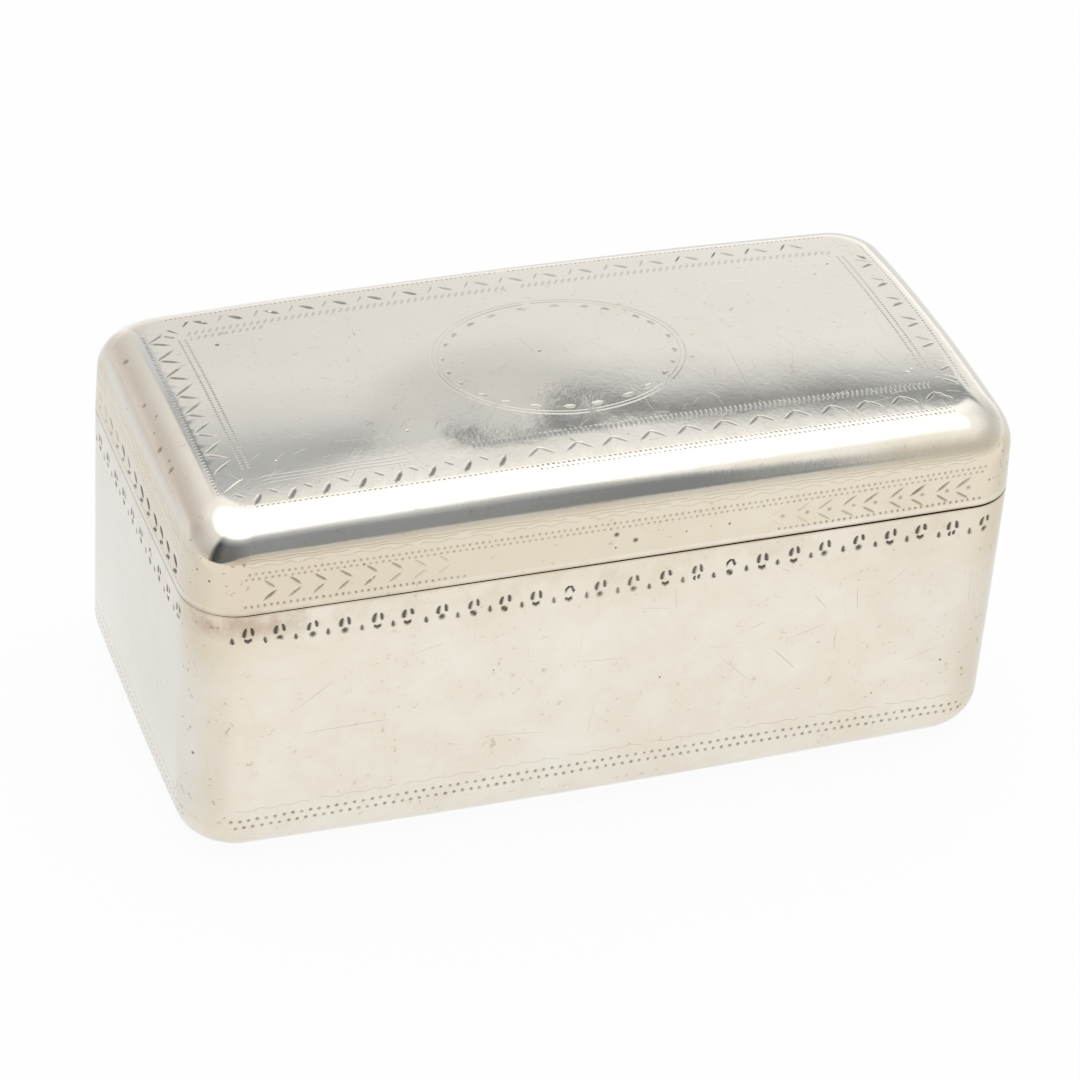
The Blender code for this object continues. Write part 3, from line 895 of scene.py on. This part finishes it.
class SnuffBoxLidOperator(bpy.types.Operator):
    """Raise the lid with its bullnose, bands, border and oval"""

    bl_idname = "snuffbox.lid_cover"
    bl_label = "Lid Cover"

    def execute(self, context):
        form = context.scene.snuffbox_form
        ornament = context.scene.snuffbox_ornament
        surface = BoxSurface(form)
        places = columns(surface)
        around = np.array(places)
        low = surface.rim(around, 1, 0.0) - AXIS.z
        inner_low = surface.rim(around, 1, form.sheet) - AXIS.z
        high = np.full(len(places), surface.plateau + surface.border_width)
        band = FlatSheet(23, surface.girth)
        self.cut_band(band, surface, ornament)
        band.seen_from = surface.lid_place
        self.cut_border(band, ornament)
        wall = spread(0.0, form.lid_wall, 1.15 * MM)[1:]
        nose = [form.lid_wall + surface.nose_arc * step / 16 for step in range(1, 17)]
        nose += [surface.plateau + surface.border_width * step / 4 for step in (1, 2, 3)]
        ground = wrap_ground(places, low, high, wall + nose)
        made = band.triangulate(border_of(places, low, high, wall + nose), ground, clear=0.14 * MM)
        sheet = RaisedSheet()
        outer = sheet.lay(surface.lid, made)
        top = FlatSheet(37)
        self.cut_oval(top, ornament)
        edge = surface.lid(around[:-1], high[:-1])
        outline = [(x, y) for x, y in edge[:, :2]]
        inset = surface.plateau_inset + surface.border_width + MESH_STEP / 2
        reach_x, reach_y = surface.half_length - inset, surface.half_width - inset
        ground = [(x, y) for x in spread(-reach_x, reach_x, MESH_STEP)
                  for y in spread(-reach_y, reach_y, MESH_STEP)]
        made = top.triangulate(outline, ground, clear=0.2 * MM)
        sheet.weld(outer, sheet.lay(surface.top, made))
        back_levels = [0.0, 0.12, 0.25, 0.33, 0.38, 0.43, 0.48, 0.53, 0.58, 0.63, 0.68, 0.73, 0.85, 1.0]
        inner = sheet.lay(surface.lid, back_grid(places, inner_low, high, back_levels), inward=form.sheet)
        plain = FlatSheet(1)
        made = plain.triangulate(outline, ground, clear=0.2 * MM)
        sheet.weld(inner, sheet.lay(surface.top, made, inward=form.sheet))
        sheet.close_edges()
        piece = sheet.finish("lid_cover_raised", silver_material(context, "polished_silver"), "lid")
        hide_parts("lid_cover")
        return {"FINISHED"}

    def cut_band(self, flat, surface, ornament):
        """Rows and chevrons on the lid's wall, and the dotted rows on the bullnose's crest."""
        depth, pitch, dot = ornament.cut_depth, ornament.lid_pitch, ornament.lid_dot
        for side, middle in surface.side_middles().items():
            half = surface.half_side(side)
            reach = half + 0.4 * MM
            left_end, right_end = middle - reach, middle + reach
            faint = 0.45 if side == "left" else 1.0

            def wear(place):
                """Full depth towards the corners, rubbed away in the middle of the front."""
                along = (place - middle) / half
                rubbed = {"front": 3.4 * (abs(along) - 0.40), "left": 0.75 + 0.6 * along}.get(side, 0.8)
                return min(max(rubbed, 0.0), 1.0)

            if side != "back":
                dotted_row(flat, left_end, right_end, RIM_ROW, pitch, dot,
                           lambda p: depth * 0.9 * min(wear(p) * 2, 1), 0.5 * faint)
            for base, shift, pressure in LID_ROWS:
                start = left_end + shift * pitch
                dotted_row(flat, start, start + 2 * reach, base * MM, pitch, dot, depth * pressure * faint,
                           0.42 * faint)
            for base, swing, wave, black in LID_WAVES:
                wriggle(flat, left_end, right_end, base * MM, wave * MM, swing * MM, depth * 0.08, black)
            self.cut_chevrons(flat, side, middle, half, ornament, wear)
            crest = surface.plateau - {"right": 0.6, "left": 0.55}.get(side, 0.22) * MM
            turning = middle - (10 * MM if side == "front" else half)
            for start, end, black in ((middle - half, turning, 0.32), (turning, middle + half, 0.6)):
                dotted_row(flat, start, end, crest, pitch * 0.86, dot * 0.85, depth * 0.24, black)
            if side == "front":
                dotted_row(flat, middle - 8 * MM, middle + half, crest - 0.52 * MM, pitch * 0.86, dot * 0.9,
                           depth * 0.24, 0.72)
        pits(flat, LID_PITS)
        pits(flat, NOSE_PITS, 0.5)

    def cut_chevrons(self, flat, side, middle, half, ornament, wear):
        """Chevrons that point to the middle of their side, or all one way along the left side."""
        depth = ornament.cut_depth * (0.6 if side == "back" else 1.0)
        pitch = ornament.chevron_pitch
        level = {"front": 2.78, "left": 2.05, "back": 2.95, "right": 2.7}[side] * MM
        widths = (0.95 * MM, 0.75 * MM) if side == "left" else (0.46 * MM, 0.46 * MM)
        count = int(2 * half / pitch)
        for number in range(count):
            away = (number - (count - 1) / 2) * pitch
            lower = away > 0 and side == "front"
            if lower:
                away += 0.035 * max(away - 20 * MM, 0) + 0.3 * MM
            place = middle + away + flat.jitter(0.12 * MM)
            way = -1 if away > 0 and side != "left" else 1
            strong = depth * wear(place)
            depths = (strong * flat.hand.uniform(0.75, 1.15), strong * flat.hand.uniform(0.75, 1.1))
            height = level - (0.32 * MM if lower else 0) + flat.jitter(0.08 * MM)
            reach = (1.85 if lower else 1.5) * MM
            rise = {"left": 1.05, "front": 1.38 if lower else 1.25}.get(side, 1.25) * MM
            chevron(flat, place - way * 0.75 * MM, height, way, reach, rise, depths, widths,
                    1.1 if side == "left" else 0.46)
            if lower:
                flat.punch((place + 0.35 * MM, height + 0.05 * MM), 0.7 * MM, strong * 0.6, 0.4)

    def cut_border(self, flat, ornament):
        """The border round the lid's top, laid out as it is seen from above."""
        depth = ornament.cut_depth
        self.cut_inner_lines(flat, depth)
        self.cut_end_borders(flat, depth)
        self.cut_back_border(flat, depth)
        self.cut_front_border(flat, depth)
        pits(flat, BORDER_PITS)

    def cut_oval(self, flat, ornament):
        """Two fine oval lines with a ring of short wedges inside them, and the top's scratches."""
        depth = ornament.cut_depth
        scrapes(flat, TOP_SCRATCHES)
        pits(flat, TOP_PITS)
        middle = Vector((0.2 * MM, 0.0))

        def spot(angle, half_x, half_y):
            return tuple(middle + Vector((math.cos(angle) * half_x, math.sin(angle) * half_y)) * MM)

        steps, parts, wedges = 18, 8, 24
        for half_x, half_y, width in ((12.95, 10.35, 0.22), (12.45, 9.9, 0.16)):
            for step in range(parts):
                angles = (2 * math.pi * (step + 0.99 * part / steps) / parts for part in range(steps + 1))
                flat.scribe([spot(angle, half_x, half_y) for angle in angles], width * MM, depth * 0.09, 0.1)
        for wedge in range(wedges):
            angle = 2 * math.pi * (wedge + 0.3) / wedges + flat.jitter(0.04)
            low = angle - flat.hand.uniform(0.04, 0.07)
            high = angle + flat.hand.uniform(0.04, 0.07)
            near = 0.5 - 0.5 * math.sin(angle)
            flat.stroke(spot(low, 11.8, 9.0), spot(high, 11.8, 9.0), 0.68 * MM, depth * (0.22 + 0.10 * near),
                        0.34 * flat.hand.uniform(0.5, 1.0), bulge=-0.12 * MM, lean=0.5)

    def cut_inner_lines(self, flat, depth):
        """The doubled line inside the border: dots at the ends, leaning ticks along the sides."""
        for x in (-35.6, -34.95, 35.5, 36.15):
            for y in spread(-11.2 * MM, 12.2 * MM, 0.40 * MM):
                flat.punch((x * MM, y + flat.jitter(0.03 * MM)), 0.36 * MM, depth * 0.11, 0.46, sides=5)
        for x in spread(-34.3 * MM, 35.0 * MM, 0.72 * MM):
            y = 13.75 * MM - 0.5 * MM * (x / (36 * MM)) ** 4
            rows = ((0.0, 0.52), (-1.05, 0.45)) if x < -27 * MM else ((0.0, 0.6),)
            for rise, half in rows:
                tick = (-0.6 * half, rise - half, 0.6 * half, rise + half, 0.46)
                flat.nick(x, y, tick, depth * 0.20, 0.20, lean=0.5)
        for x in spread(-13.0 * MM, 35.0 * MM, 0.52 * MM):
            flat.nick(x, 0, FRONT_TICK, depth * 0.13, 0.16, lean=0.5)
        for y in (-12.85, -13.35, -13.85):
            places = [(x, y * MM + 0.05 * MM * math.sin(900 * x + y))
                      for x in spread(-34.5 * MM, -19.5 * MM, 0.6 * MM)]
            flat.scribe(places, 0.2 * MM, depth * 0.03, 0.1)

    def cut_end_borders(self, flat, depth):
        """The zigzag at the left end and the wider-set strokes at the right."""
        for number in range(8):
            y = (-11.55 + 3.43 * number) * MM + flat.jitter(0.12 * MM)
            flat.carve_keel(ZIGZAG_BEND if number else ZIGZAG_BEND[3:], 0, y, depth * 0.25, 0.48)
        self.cut_corners(flat, depth, LEFT_CORNERS)
        for number in range(6):
            y = (-10.9 + 4.0 * number) * MM + flat.jitter(0.15 * MM)
            flat.nick(0, y, RIGHT_LONG, depth * 0.5, 0.5)
            flat.nick(0, y, RIGHT_SHORT, depth * 0.2, 0.25)
        self.cut_corners(flat, depth, RIGHT_CORNERS)

    def cut_corners(self, flat, depth, corners):
        for shape, pressure, black, steps in corners:
            flat.nick(0, 0, shape, depth * pressure, black, steps=steps)

    def cut_back_border(self, flat, depth):
        """Slanted strokes, weaker on the right, with finer ones between that grow stronger there."""
        for number in range(18):
            x = (-32.5 + 3.6 * number + 0.012 * number ** 2) * MM + flat.jitter(0.12 * MM)
            strong = 0.8 if x < -8 * MM else 0.5
            flat.nick(x, 0, BACK_SLANT, depth * 0.7 * strong, 0.62 * strong)
            x -= 1.85 * MM
            far = x > 16 * MM or number == 0
            strong = 0.9 if far else 0.4
            between = (-0.25, 14.7, 0.95 if far else 0.7, 16.25, 0.36)
            flat.nick(x, 0, between, depth * strong, 0.7 * strong)

    def cut_front_border(self, flat, depth):
        """Upright strokes on the left, then chevrons as far as the right end."""
        for number in range(8):
            x = (-36.1 + 3.48 * number) * MM + flat.jitter(0.12 * MM)
            flat.nick(x, 0, FRONT_UPRIGHT, depth * 0.7, 0.5, lean=0.45)
            flat.nick(x, 0, FRONT_FOLLOWER, depth * 0.26, 0.42)
        for number in range(12):
            x = (-7.0 + 3.83 * number) * MM + flat.jitter(0.1 * MM)
            y = (-14.65 + 0.04 * number) * MM
            flat.carve_keel(PEAK, x, y, depth * 0.24, 0.40 + 0.02 * number)


class Value:
    """A number that a material works out, with arithmetic that adds the nodes it needs."""

    def __init__(self, recipe, socket):
        self.recipe = recipe
        self.socket = socket

    def math(self, operation, *others):
        sockets = dict(enumerate((self, *others)))
        return self.recipe.value("ShaderNodeMath", "Value", {"operation": operation}, sockets)

    def __add__(self, other):
        return self.math("ADD", other)

    def __sub__(self, other):
        return self.math("SUBTRACT", other)

    def __rsub__(self, other):
        return (self * -1).math("ADD", other)

    def __mul__(self, other):
        return self.math("MULTIPLY", other)

    def __truediv__(self, other):
        return self.math("DIVIDE", other)

    def __abs__(self):
        return self.math("ABSOLUTE")

    __radd__ = __add__
    __rmul__ = __mul__

    def at_most(self, other):
        return self.math("MINIMUM", other)

    def at_least(self, other):
        return self.math("MAXIMUM", other)

    def over(self, low, high):
        """0 below low, 1 above high, with a soft step between."""
        sockets = {"Value": self, "From Min": low, "From Max": high}
        settings = {"interpolation_type": "SMOOTHSTEP"}
        return self.recipe.value("ShaderNodeMapRange", "Result", settings, sockets)

    def under(self, low, high):
        """1 below low, 0 above high, with a soft step between."""
        return 1 - self.over(low, high)

    def near(self, middle, core, reach):
        """1 up to core away from the middle, 0 past reach, with a soft step between."""
        return abs(self - middle).under(core, reach)

    def within(self, low, full, fade, high):
        """0 below low, 1 from full to fade and 0 above high, with soft steps between."""
        return self.over(low, full) * self.under(fade, high)


class Recipe:
    """A node tree in the making."""

    def __init__(self, tree):
        self.tree = tree
        tree.nodes.clear()

    def node(self, kind, settings=None, sockets=None):
        """Add a node, set it up, and set or link its sockets."""
        made = self.tree.nodes.new(kind)
        for name, setting in (settings or {}).items():
            setattr(made, name, setting)
        for name, given in (sockets or {}).items():
            self.fill(made.inputs[name], given)
        return made

    def fill(self, socket, given):
        """Link a worked-out value to a socket, or set a plain one on it."""
        if isinstance(given, Value):
            self.tree.links.new(given.socket, socket)
        else:
            socket.default_value = given

    def value(self, kind, output, settings=None, sockets=None):
        return Value(self, self.node(kind, settings, sockets).outputs[output])

    def noise(self, place, scale, detail=2.0, roughness=0.5, distortion=0.0):
        sockets = {"Vector": place, "Scale": scale, "Detail": detail, "Roughness": roughness,
                   "Distortion": distortion}
        return self.value("ShaderNodeTexNoise", "Fac", None, sockets)

    def axes(self, vector):
        """The three parts of a vector."""
        split = self.node("ShaderNodeSeparateXYZ", None, {"Vector": vector})
        return [Value(self, split.outputs[name]) for name in "XYZ"]

    def vector(self, operation, first, second=None, output="Vector"):
        sockets = {0: first} if second is None else {0: first, 1: second}
        return self.value("ShaderNodeVectorMath", output, {"operation": operation}, sockets)

    def blend(self, factor, first, second):
        """Mix two colours by a factor."""
        made = self.node("ShaderNodeMix", {"data_type": "RGBA"})
        for name, given in (("Factor_Float", factor), ("A_Color", first), ("B_Color", second)):
            self.fill(next(found for found in made.inputs if found.identifier == name), given)
        result = next(found for found in made.outputs if found.identifier == "Result_Color")
        return Value(self, result)

    def mix_shaders(self, factor, first, second):
        ends = [Value(self, shader.outputs[0]) for shader in (first, second)]
        return self.node("ShaderNodeMixShader", None, {0: factor, 1: ends[0], 2: ends[1]})

    def output(self, kind, shader):
        self.node(kind, None, {"Surface": Value(self, shader.outputs[0])})


def new_material(name):
    """A material with an empty node tree, and the recipe that fills it."""
    material = bpy.data.materials.new(name)
    material.use_nodes = True
    return material, Recipe(material.node_tree)


def scratches(recipe, place, size, reach, width):
    """Short straight scratches, one in each cell of a random packing, each its own way."""
    cells = recipe.node("ShaderNodeTexVoronoi", {"feature": "F1"}, {"Vector": place, "Scale": 1 / size})
    centre = Value(recipe, cells.outputs["Position"])
    tint = Value(recipe, cells.outputs["Color"])
    away = recipe.vector("SUBTRACT", place, centre)
    way = recipe.vector("NORMALIZE", recipe.vector("SUBTRACT", tint, (0.5, 0.5, 0.5)))
    off = abs(recipe.vector("DOT_PRODUCT", away, way, "Value"))
    far = recipe.vector("LENGTH", away, None, "Value")
    return off.under(width * 0.3, width) * far.under(reach * 0.6, reach)


def silver_material(context, name):
    """Worn polished silver: warm film, scratches at three sizes, black left in the cuts.

    along, across and up are a place on the box in millimetres.
    """
    found = bpy.data.materials.get("finish_" + name)
    if found:
        return found
    finish = context.scene.snuffbox_finish
    material, recipe = new_material("finish_" + name)
    place = recipe.value("ShaderNodeTexCoord", "Object")
    cut = recipe.value("ShaderNodeAttribute", "Fac", {"attribute_name": "cut"})
    along, across, up = (axis / MM for axis in recipe.axes(place))
    cloud = recipe.noise(place, 55.0, 4.0, 0.6, 0.4)
    film = recipe.noise(place, 260.0, 5.0, 0.65)
    grain = recipe.noise(place, 2200.0, 3.0, 0.6)
    specks = recipe.noise(place, 1500.0, 2.0, 0.5)
    long_ones = scratches(recipe, place, 13 * MM, 5 * MM, 0.05 * MM)
    mid_ones = scratches(recipe, place, 4.5 * MM, 2.2 * MM, 0.04 * MM)
    fine_ones = scratches(recipe, place, 1.9 * MM, 1.0 * MM, 0.03 * MM)

    # Parts of the box that wear and darken in their own ways.
    front = across.under(-21.3, -18)
    lid_wall = up.within(29.6, 30.4, 35.5, 37.5)
    corner = abs(along).over(35.0, 42.5) * across.under(-20.5, -15)
    left_wall = along.under(-43.4, -41.0)
    left_part = along.under(-36, 0)
    under_seam = up.within(20, 29, 29.6, 30.4)
    # The lid's lower rim: rubbed bright by wear, and also a painted highlight along its edge.
    rim_wear_and_highlight = up.near(30.62, 0.12, 0.36)
    nose = up.within(35.4, 36.4, 39.0, 39.6) * across.under(-20.5, -18.5)
    left_shoulder = along.under(-42.0, -39.8) * up.over(36.8, 38.0) * up.under(39.2, 39.9)
    stained = along.under(-37, -27) * across.under(-20.5, -17)

    # The warm film, thickest on the front, the lid's wall and the corners.
    patina = 0.08 + front * 0.36 + corner * 0.26 + (cloud - 0.5) * 0.6 + (film - 0.5) * 0.6
    patina = patina + lid_wall * (0.40 + left_wall * 0.20 + left_part * front * 0.25)
    patina = patina + under_seam * (0.15 + corner * 0.5)
    # Less film on the lid's lower rim paints a light line there, partly wear and partly a painted highlight.
    patina = patina - rim_wear_and_highlight * 0.32 + nose * along.over(18, 34) * 0.3
    hue = recipe.blend(patina.over(0.0, 1.0), (*finish.silver, 1), (*finish.patina, 1))

    # Brown stain by the seam and in the corners, a brown painted shade along the seam's gap, then black in the
    # cuts and scratches.
    seam_film = up.near(29.0, 0.3, 2.4) * (0.10 + stained * 0.55) * film.over(0.38, 0.6)
    # Painted shade on the body's edge just under the seam, deeper to the right where the gap opens wider.
    seam_gap_shade = up.near(30.1, 0.12, 0.36) * (0.30 + along.over(-20, 25) * 0.32)
    dirt = specks.over(0.62, 0.76) * film.over(0.42, 0.62) * (0.3 + corner * 0.9)
    dull = lid_wall * left_part * front * 0.08 + left_shoulder * (0.22 + cloud * 0.34)
    hue = recipe.blend((seam_film + seam_gap_shade + dirt + dull).at_most(0.9), hue, (*finish.stain_and_gap_shade, 1))
    worn_lines = long_ones * 0.04 + mid_ones * 0.06 + fine_ones * 0.04 + dirt * 0.3
    black = (cut * 1.5).at_most(0.88).at_least(worn_lines)
    hue = recipe.blend(black, hue, (*finish.tarnish, 1))
    base = finish.gloss if name == "polished_silver" else finish.inside_gloss
    gloss = base + (film - 0.5) * 0.10 + (cloud - 0.5) * 0.06 + black * 0.25 + seam_film * 0.2

    # Relief of the scratches, of streaks along the nose and of a rough patch on the lid's top.
    drawn_out = recipe.value("ShaderNodeMapping", "Vector", None,
                             {"Vector": place, "Scale": (0.05, 1.0, 1.0)})
    streaks = recipe.noise(drawn_out, 3200.0, 3.0, 0.7)
    scored = long_ones * -0.0015 * MM - mid_ones * 0.0012 * MM - fine_ones * 0.0020 * MM
    relief = scored * (1 - nose * 0.8) + streaks * nose * 0.0040 * MM
    patch = up.over(39, 39.6) * across.under(-9, 0) * cloud.over(0.44, 0.58)
    patch = patch * along.over(-20, -14) * along.under(4, 10) * across.over(-15.5, -13)
    relief = relief + film * (0.008 + patch * 0.012) * MM - dirt * 0.004 * MM
    relief = relief + grain * (0.0018 + patch * 0.0040) * MM
    normal = recipe.value("ShaderNodeBump", "Normal", None, {"Height": relief, "Distance": 1.0})
    shader = recipe.node("ShaderNodeBsdfPrincipled", None,
                         {"Metallic": 1.0, "Base Color": hue, "Roughness": gloss, "Normal": normal})
    recipe.output("ShaderNodeOutputMaterial", shader)
    return material


class SnuffBoxFittingsOperator(bpy.types.Operator):
    """Finish the hinge, the bezel and the base, which keep the frame's own shapes"""

    bl_idname = "snuffbox.fittings"
    bl_label = "Hinge, Bezel and Base"

    def execute(self, context):
        slots = {part["node"]: part["material_slot"] for part in frame["record"]["subparts"]}
        for name, node in frame["nodes"].items():
            if not node.hide_render:
                material = silver_material(context, slots[name])
                for slot in node.material_slots:
                    slot.material = material
        return {"FINISHED"}


class SnuffBoxStageOperator(bpy.types.Operator):
    """Set up the floor, the pale surround, the soft box and the camera"""

    bl_idname = "snuffbox.stage"
    bl_label = "Stage"

    def execute(self, context):
        stage = context.scene.snuffbox_stage
        self.add_floor(stage)
        self.add_surround(context, stage)
        self.add_lights()
        self.add_camera(context)
        context.scene.view_settings.view_transform = "Standard"
        return {"FINISHED"}

    def add_floor(self, stage):
        """A pale disc that keeps the shadow; the box mirrors it a little darker past its ends."""
        shape = bmesh.new()
        bmesh.ops.create_circle(shape, cap_ends=True, segments=64, radius=FLOOR_RADIUS)
        mesh = bpy.data.meshes.new("floor")
        shape.to_mesh(mesh)
        shape.free()
        material, recipe = new_material("finish_floor")
        path = recipe.node("ShaderNodeLightPath")
        camera = Value(recipe, path.outputs["Is Camera Ray"])
        glossy = Value(recipe, path.outputs["Is Glossy Ray"])
        x, y, _ = recipe.axes(recipe.value("ShaderNodeTexCoord", "Object"))
        past_end = abs(x) / MM - 43
        behind = (y / MM).over(-70, -5)
        dim = past_end.over(-5, 8) * 0.15 + past_end.over(25, 90) * 0.05
        matte = recipe.node("ShaderNodeBsdfDiffuse", None, {"Color": (*stage.floor_colour, 1)})
        glow = recipe.node("ShaderNodeEmission", None, {"Color": (1, 1, 1, 1), "Strength": 1.0})
        dark = recipe.node("ShaderNodeBsdfDiffuse", None, {"Color": (0, 0, 0, 1)})
        mixed = recipe.mix_shaders((camera * 0.93).at_least(glossy * 0.75), matte, glow)
        dimmed = recipe.mix_shaders(glossy * behind * dim, mixed, dark)
        recipe.output("ShaderNodeOutputMaterial", dimmed)
        floor = bpy.data.objects.new("floor", mesh)
        bpy.context.scene.collection.objects.link(floor)
        mesh.materials.append(material)

    def add_surround(self, context, stage):
        """A pale room by direction: bright overhead, with a dark patch in front.

        height is in degrees over the floor, and turn in degrees round from the front.
        """
        world = bpy.data.worlds.new("surround")
        world.use_nodes = True
        context.scene.world = world
        recipe = Recipe(world.node_tree)
        x, y, z = recipe.axes(recipe.value("ShaderNodeTexCoord", "Generated"))
        height = z.math("ARCSINE") * math.degrees(1)
        turn = x.math("ARCTAN2", y * -1) * math.degrees(1)
        left = x.under(-0.2, 0.45)
        rear = abs(turn).over(112, 138)
        overhead = height.over(54, 69)
        level = 0.88 - height.over(2, 14) * 0.16 - height.over(8, 26) * 0.08
        level = level * (1 - left * height.under(10, 36) * 0.16)
        level = level + height.over(28, 54) * (0.34 - left * 0.16)
        level = level + rear * (1 - left) * height.under(30, 44) * 0.22

        # The rear wall is brighter over a ridge, which climbs to the left.
        ridge = 40.6 + (turn - 157).at_most(0) * 0.19 + (turn - 157).at_least(0).at_most(6) * 0.50
        past = height - ridge
        level = level + past.over(0.5, 6.0) * rear * (0.22 - left * 0.1)
        level = level * (1 - overhead) + overhead * 2.0

        # Under the ridge lies the dark strip that the lid's top mirrors near its front edge.
        far_left = (turn - 155).over(0, 10)
        inner = turn.near(157, 1, 3)
        right = (156 - turn).over(0, 5)
        far_right = (152 - turn).over(0, 4)
        beyond = (turn - 164).over(0, 3)
        strip = past.over(-5.4 - far_left * 5 - left * 3 - inner * 2.0, 0.1 - inner * 1.2)
        strip = strip * past.under(right * 0.7 - 0.6, 0.3 + right + far_right * 1.2 + beyond * 3)
        gap = turn.near(159.3, 1.1, 1.8) * height.over(34.5, 37) * height.under(41, 42.2)
        strip = strip * (1 - gap * 0.75) * rear
        level = level * (1 - strip * (0.78 - inner * 0.04 - far_left * 0.32 - far_right * 0.08))

        # Two fainter shades in the rear wall, mirrored at the lid's left end and beside the strip.
        end_shade = abs(turn).over(168, 173) * height.over(24, 31) * height.under(42, 48)
        level = level * (1 - end_shade * (0.18 + height.over(30, 38) * 0.24))
        level = level * (1 - turn.near(160, 0.3, 2.8) * height.near(34, 1.5, 5.5) * 0.16)

        # The dark patch in front, which the bullnose mirrors as a band along its lower edge.
        leaning = turn - (height - 26).at_least(0) * 0.30
        patch_foot = height - (18.4 - turn.under(-52, -6) * 20)
        patch = turn.over(-72, -60) * leaning.under(25.2, 27.6) * patch_foot.over(-1.5, 2.5)
        patch = patch * height.under(42, 69)
        shade = 0.19 + turn.over(-34, 16) * 0.13 - leaning.near(21.6, 1.0, 4.0) * 0.07
        shade = shade - turn.under(-60, -40) * 0.12
        level = level * (1 - patch) + shade * patch

        cool = (strip * 0.7).at_least(patch).at_least(end_shade * 0.7)
        hue = recipe.blend(left * (1 - overhead), (*stage.surround, 1), (*stage.warm_side, 1))
        hue = recipe.blend(overhead, hue, (1, 1, 1, 1))
        hue = recipe.blend(cool, hue, (*stage.shade, 1))
        camera = Value(recipe, recipe.node("ShaderNodeLightPath").outputs["Is Camera Ray"])
        seen = recipe.blend(camera, hue, (1, 1, 1, 1))
        strength = camera + (1 - camera) * level
        back = recipe.node("ShaderNodeBackground", None, {"Color": seen, "Strength": strength})
        recipe.output("ShaderNodeOutputWorld", back)

    def add_lights(self):
        """One wide soft box overhead."""
        light = bpy.data.lights.new("soft_box", "AREA")
        light.shape = "RECTANGLE"
        light.size, light.size_y = SOFT_BOX_SIZE
        light.energy = SOFT_BOX_WATTS
        lamp = bpy.data.objects.new("soft_box", light)
        lamp.location = SOFT_BOX_PLACE
        bpy.context.scene.collection.objects.link(lamp)

    def add_camera(self, context):
        """The camera of the photograph, from its fitted place, turn and focal length."""
        azimuth, elevation, roll = (math.radians(angle) for angle in CAMERA_ANGLES)
        back = Vector((math.sin(azimuth) * math.cos(elevation),
                       -math.cos(azimuth) * math.cos(elevation), math.sin(elevation)))
        right = Vector((math.cos(azimuth), math.sin(azimuth), 0))
        up = back.cross(right)
        across = right * math.cos(roll) + up * math.sin(roll)
        upward = up * math.cos(roll) - right * math.sin(roll)
        place = Vector((0, 0, CAMERA_AIM)) + back * CAMERA_DISTANCE
        place += across * CAMERA_SHIFT[0] + upward * CAMERA_SHIFT[1]
        camera = bpy.data.cameras.new("camera")
        camera.sensor_width = 36.0
        camera.lens = FOCAL_PIXELS / PHOTO_PIXELS * camera.sensor_width
        camera.clip_start = 0.01
        view = bpy.data.objects.new("camera", camera)
        turn = Matrix((across, upward, back)).transposed().to_4x4()
        view.matrix_world = Matrix.Translation(place) @ turn
        context.scene.collection.objects.link(view)
        context.scene.camera = view


class SnuffBoxPanel(bpy.types.Panel):
    """The pieces of the snuff box, in the order they are made"""

    bl_idname = "VIEW3D_PT_snuffbox"
    bl_label = "Silver Snuff Box"
    bl_space_type = "VIEW_3D"
    bl_region_type = "UI"
    bl_category = "Snuff Box"

    def draw(self, context):
        for operator in OPERATORS:
            self.layout.operator(operator.bl_idname)
        for name in GROUPS:
            group = getattr(context.scene, name)
            box = self.layout.box()
            for key in group.bl_rna.properties.keys():
                if key not in ("rna_type", "name"):
                    box.prop(group, key)


GROUPS = {"snuffbox_form": SnuffBoxForm, "snuffbox_ornament": SnuffBoxOrnament,
          "snuffbox_finish": SnuffBoxFinish, "snuffbox_stage": SnuffBoxStage}
OPERATORS = (SnuffBoxBodyOperator, SnuffBoxLidOperator, SnuffBoxFittingsOperator, SnuffBoxStageOperator)


def register():
    for made in (*GROUPS.values(), *OPERATORS, SnuffBoxPanel):
        bpy.utils.register_class(made)
    for name, group in GROUPS.items():
        setattr(bpy.types.Scene, name, PointerProperty(type=group))


def unregister():
    for name in reversed(GROUPS):
        delattr(bpy.types.Scene, name)
    for made in (SnuffBoxPanel, *reversed(OPERATORS), *reversed(GROUPS.values())):
        bpy.utils.unregister_class(made)


def main():
    register()
    bpy.ops.snuffbox.body_wall()
    bpy.ops.snuffbox.lid_cover()
    bpy.ops.snuffbox.fittings()
    bpy.ops.snuffbox.stage()


if __name__ == "__main__":
    main()
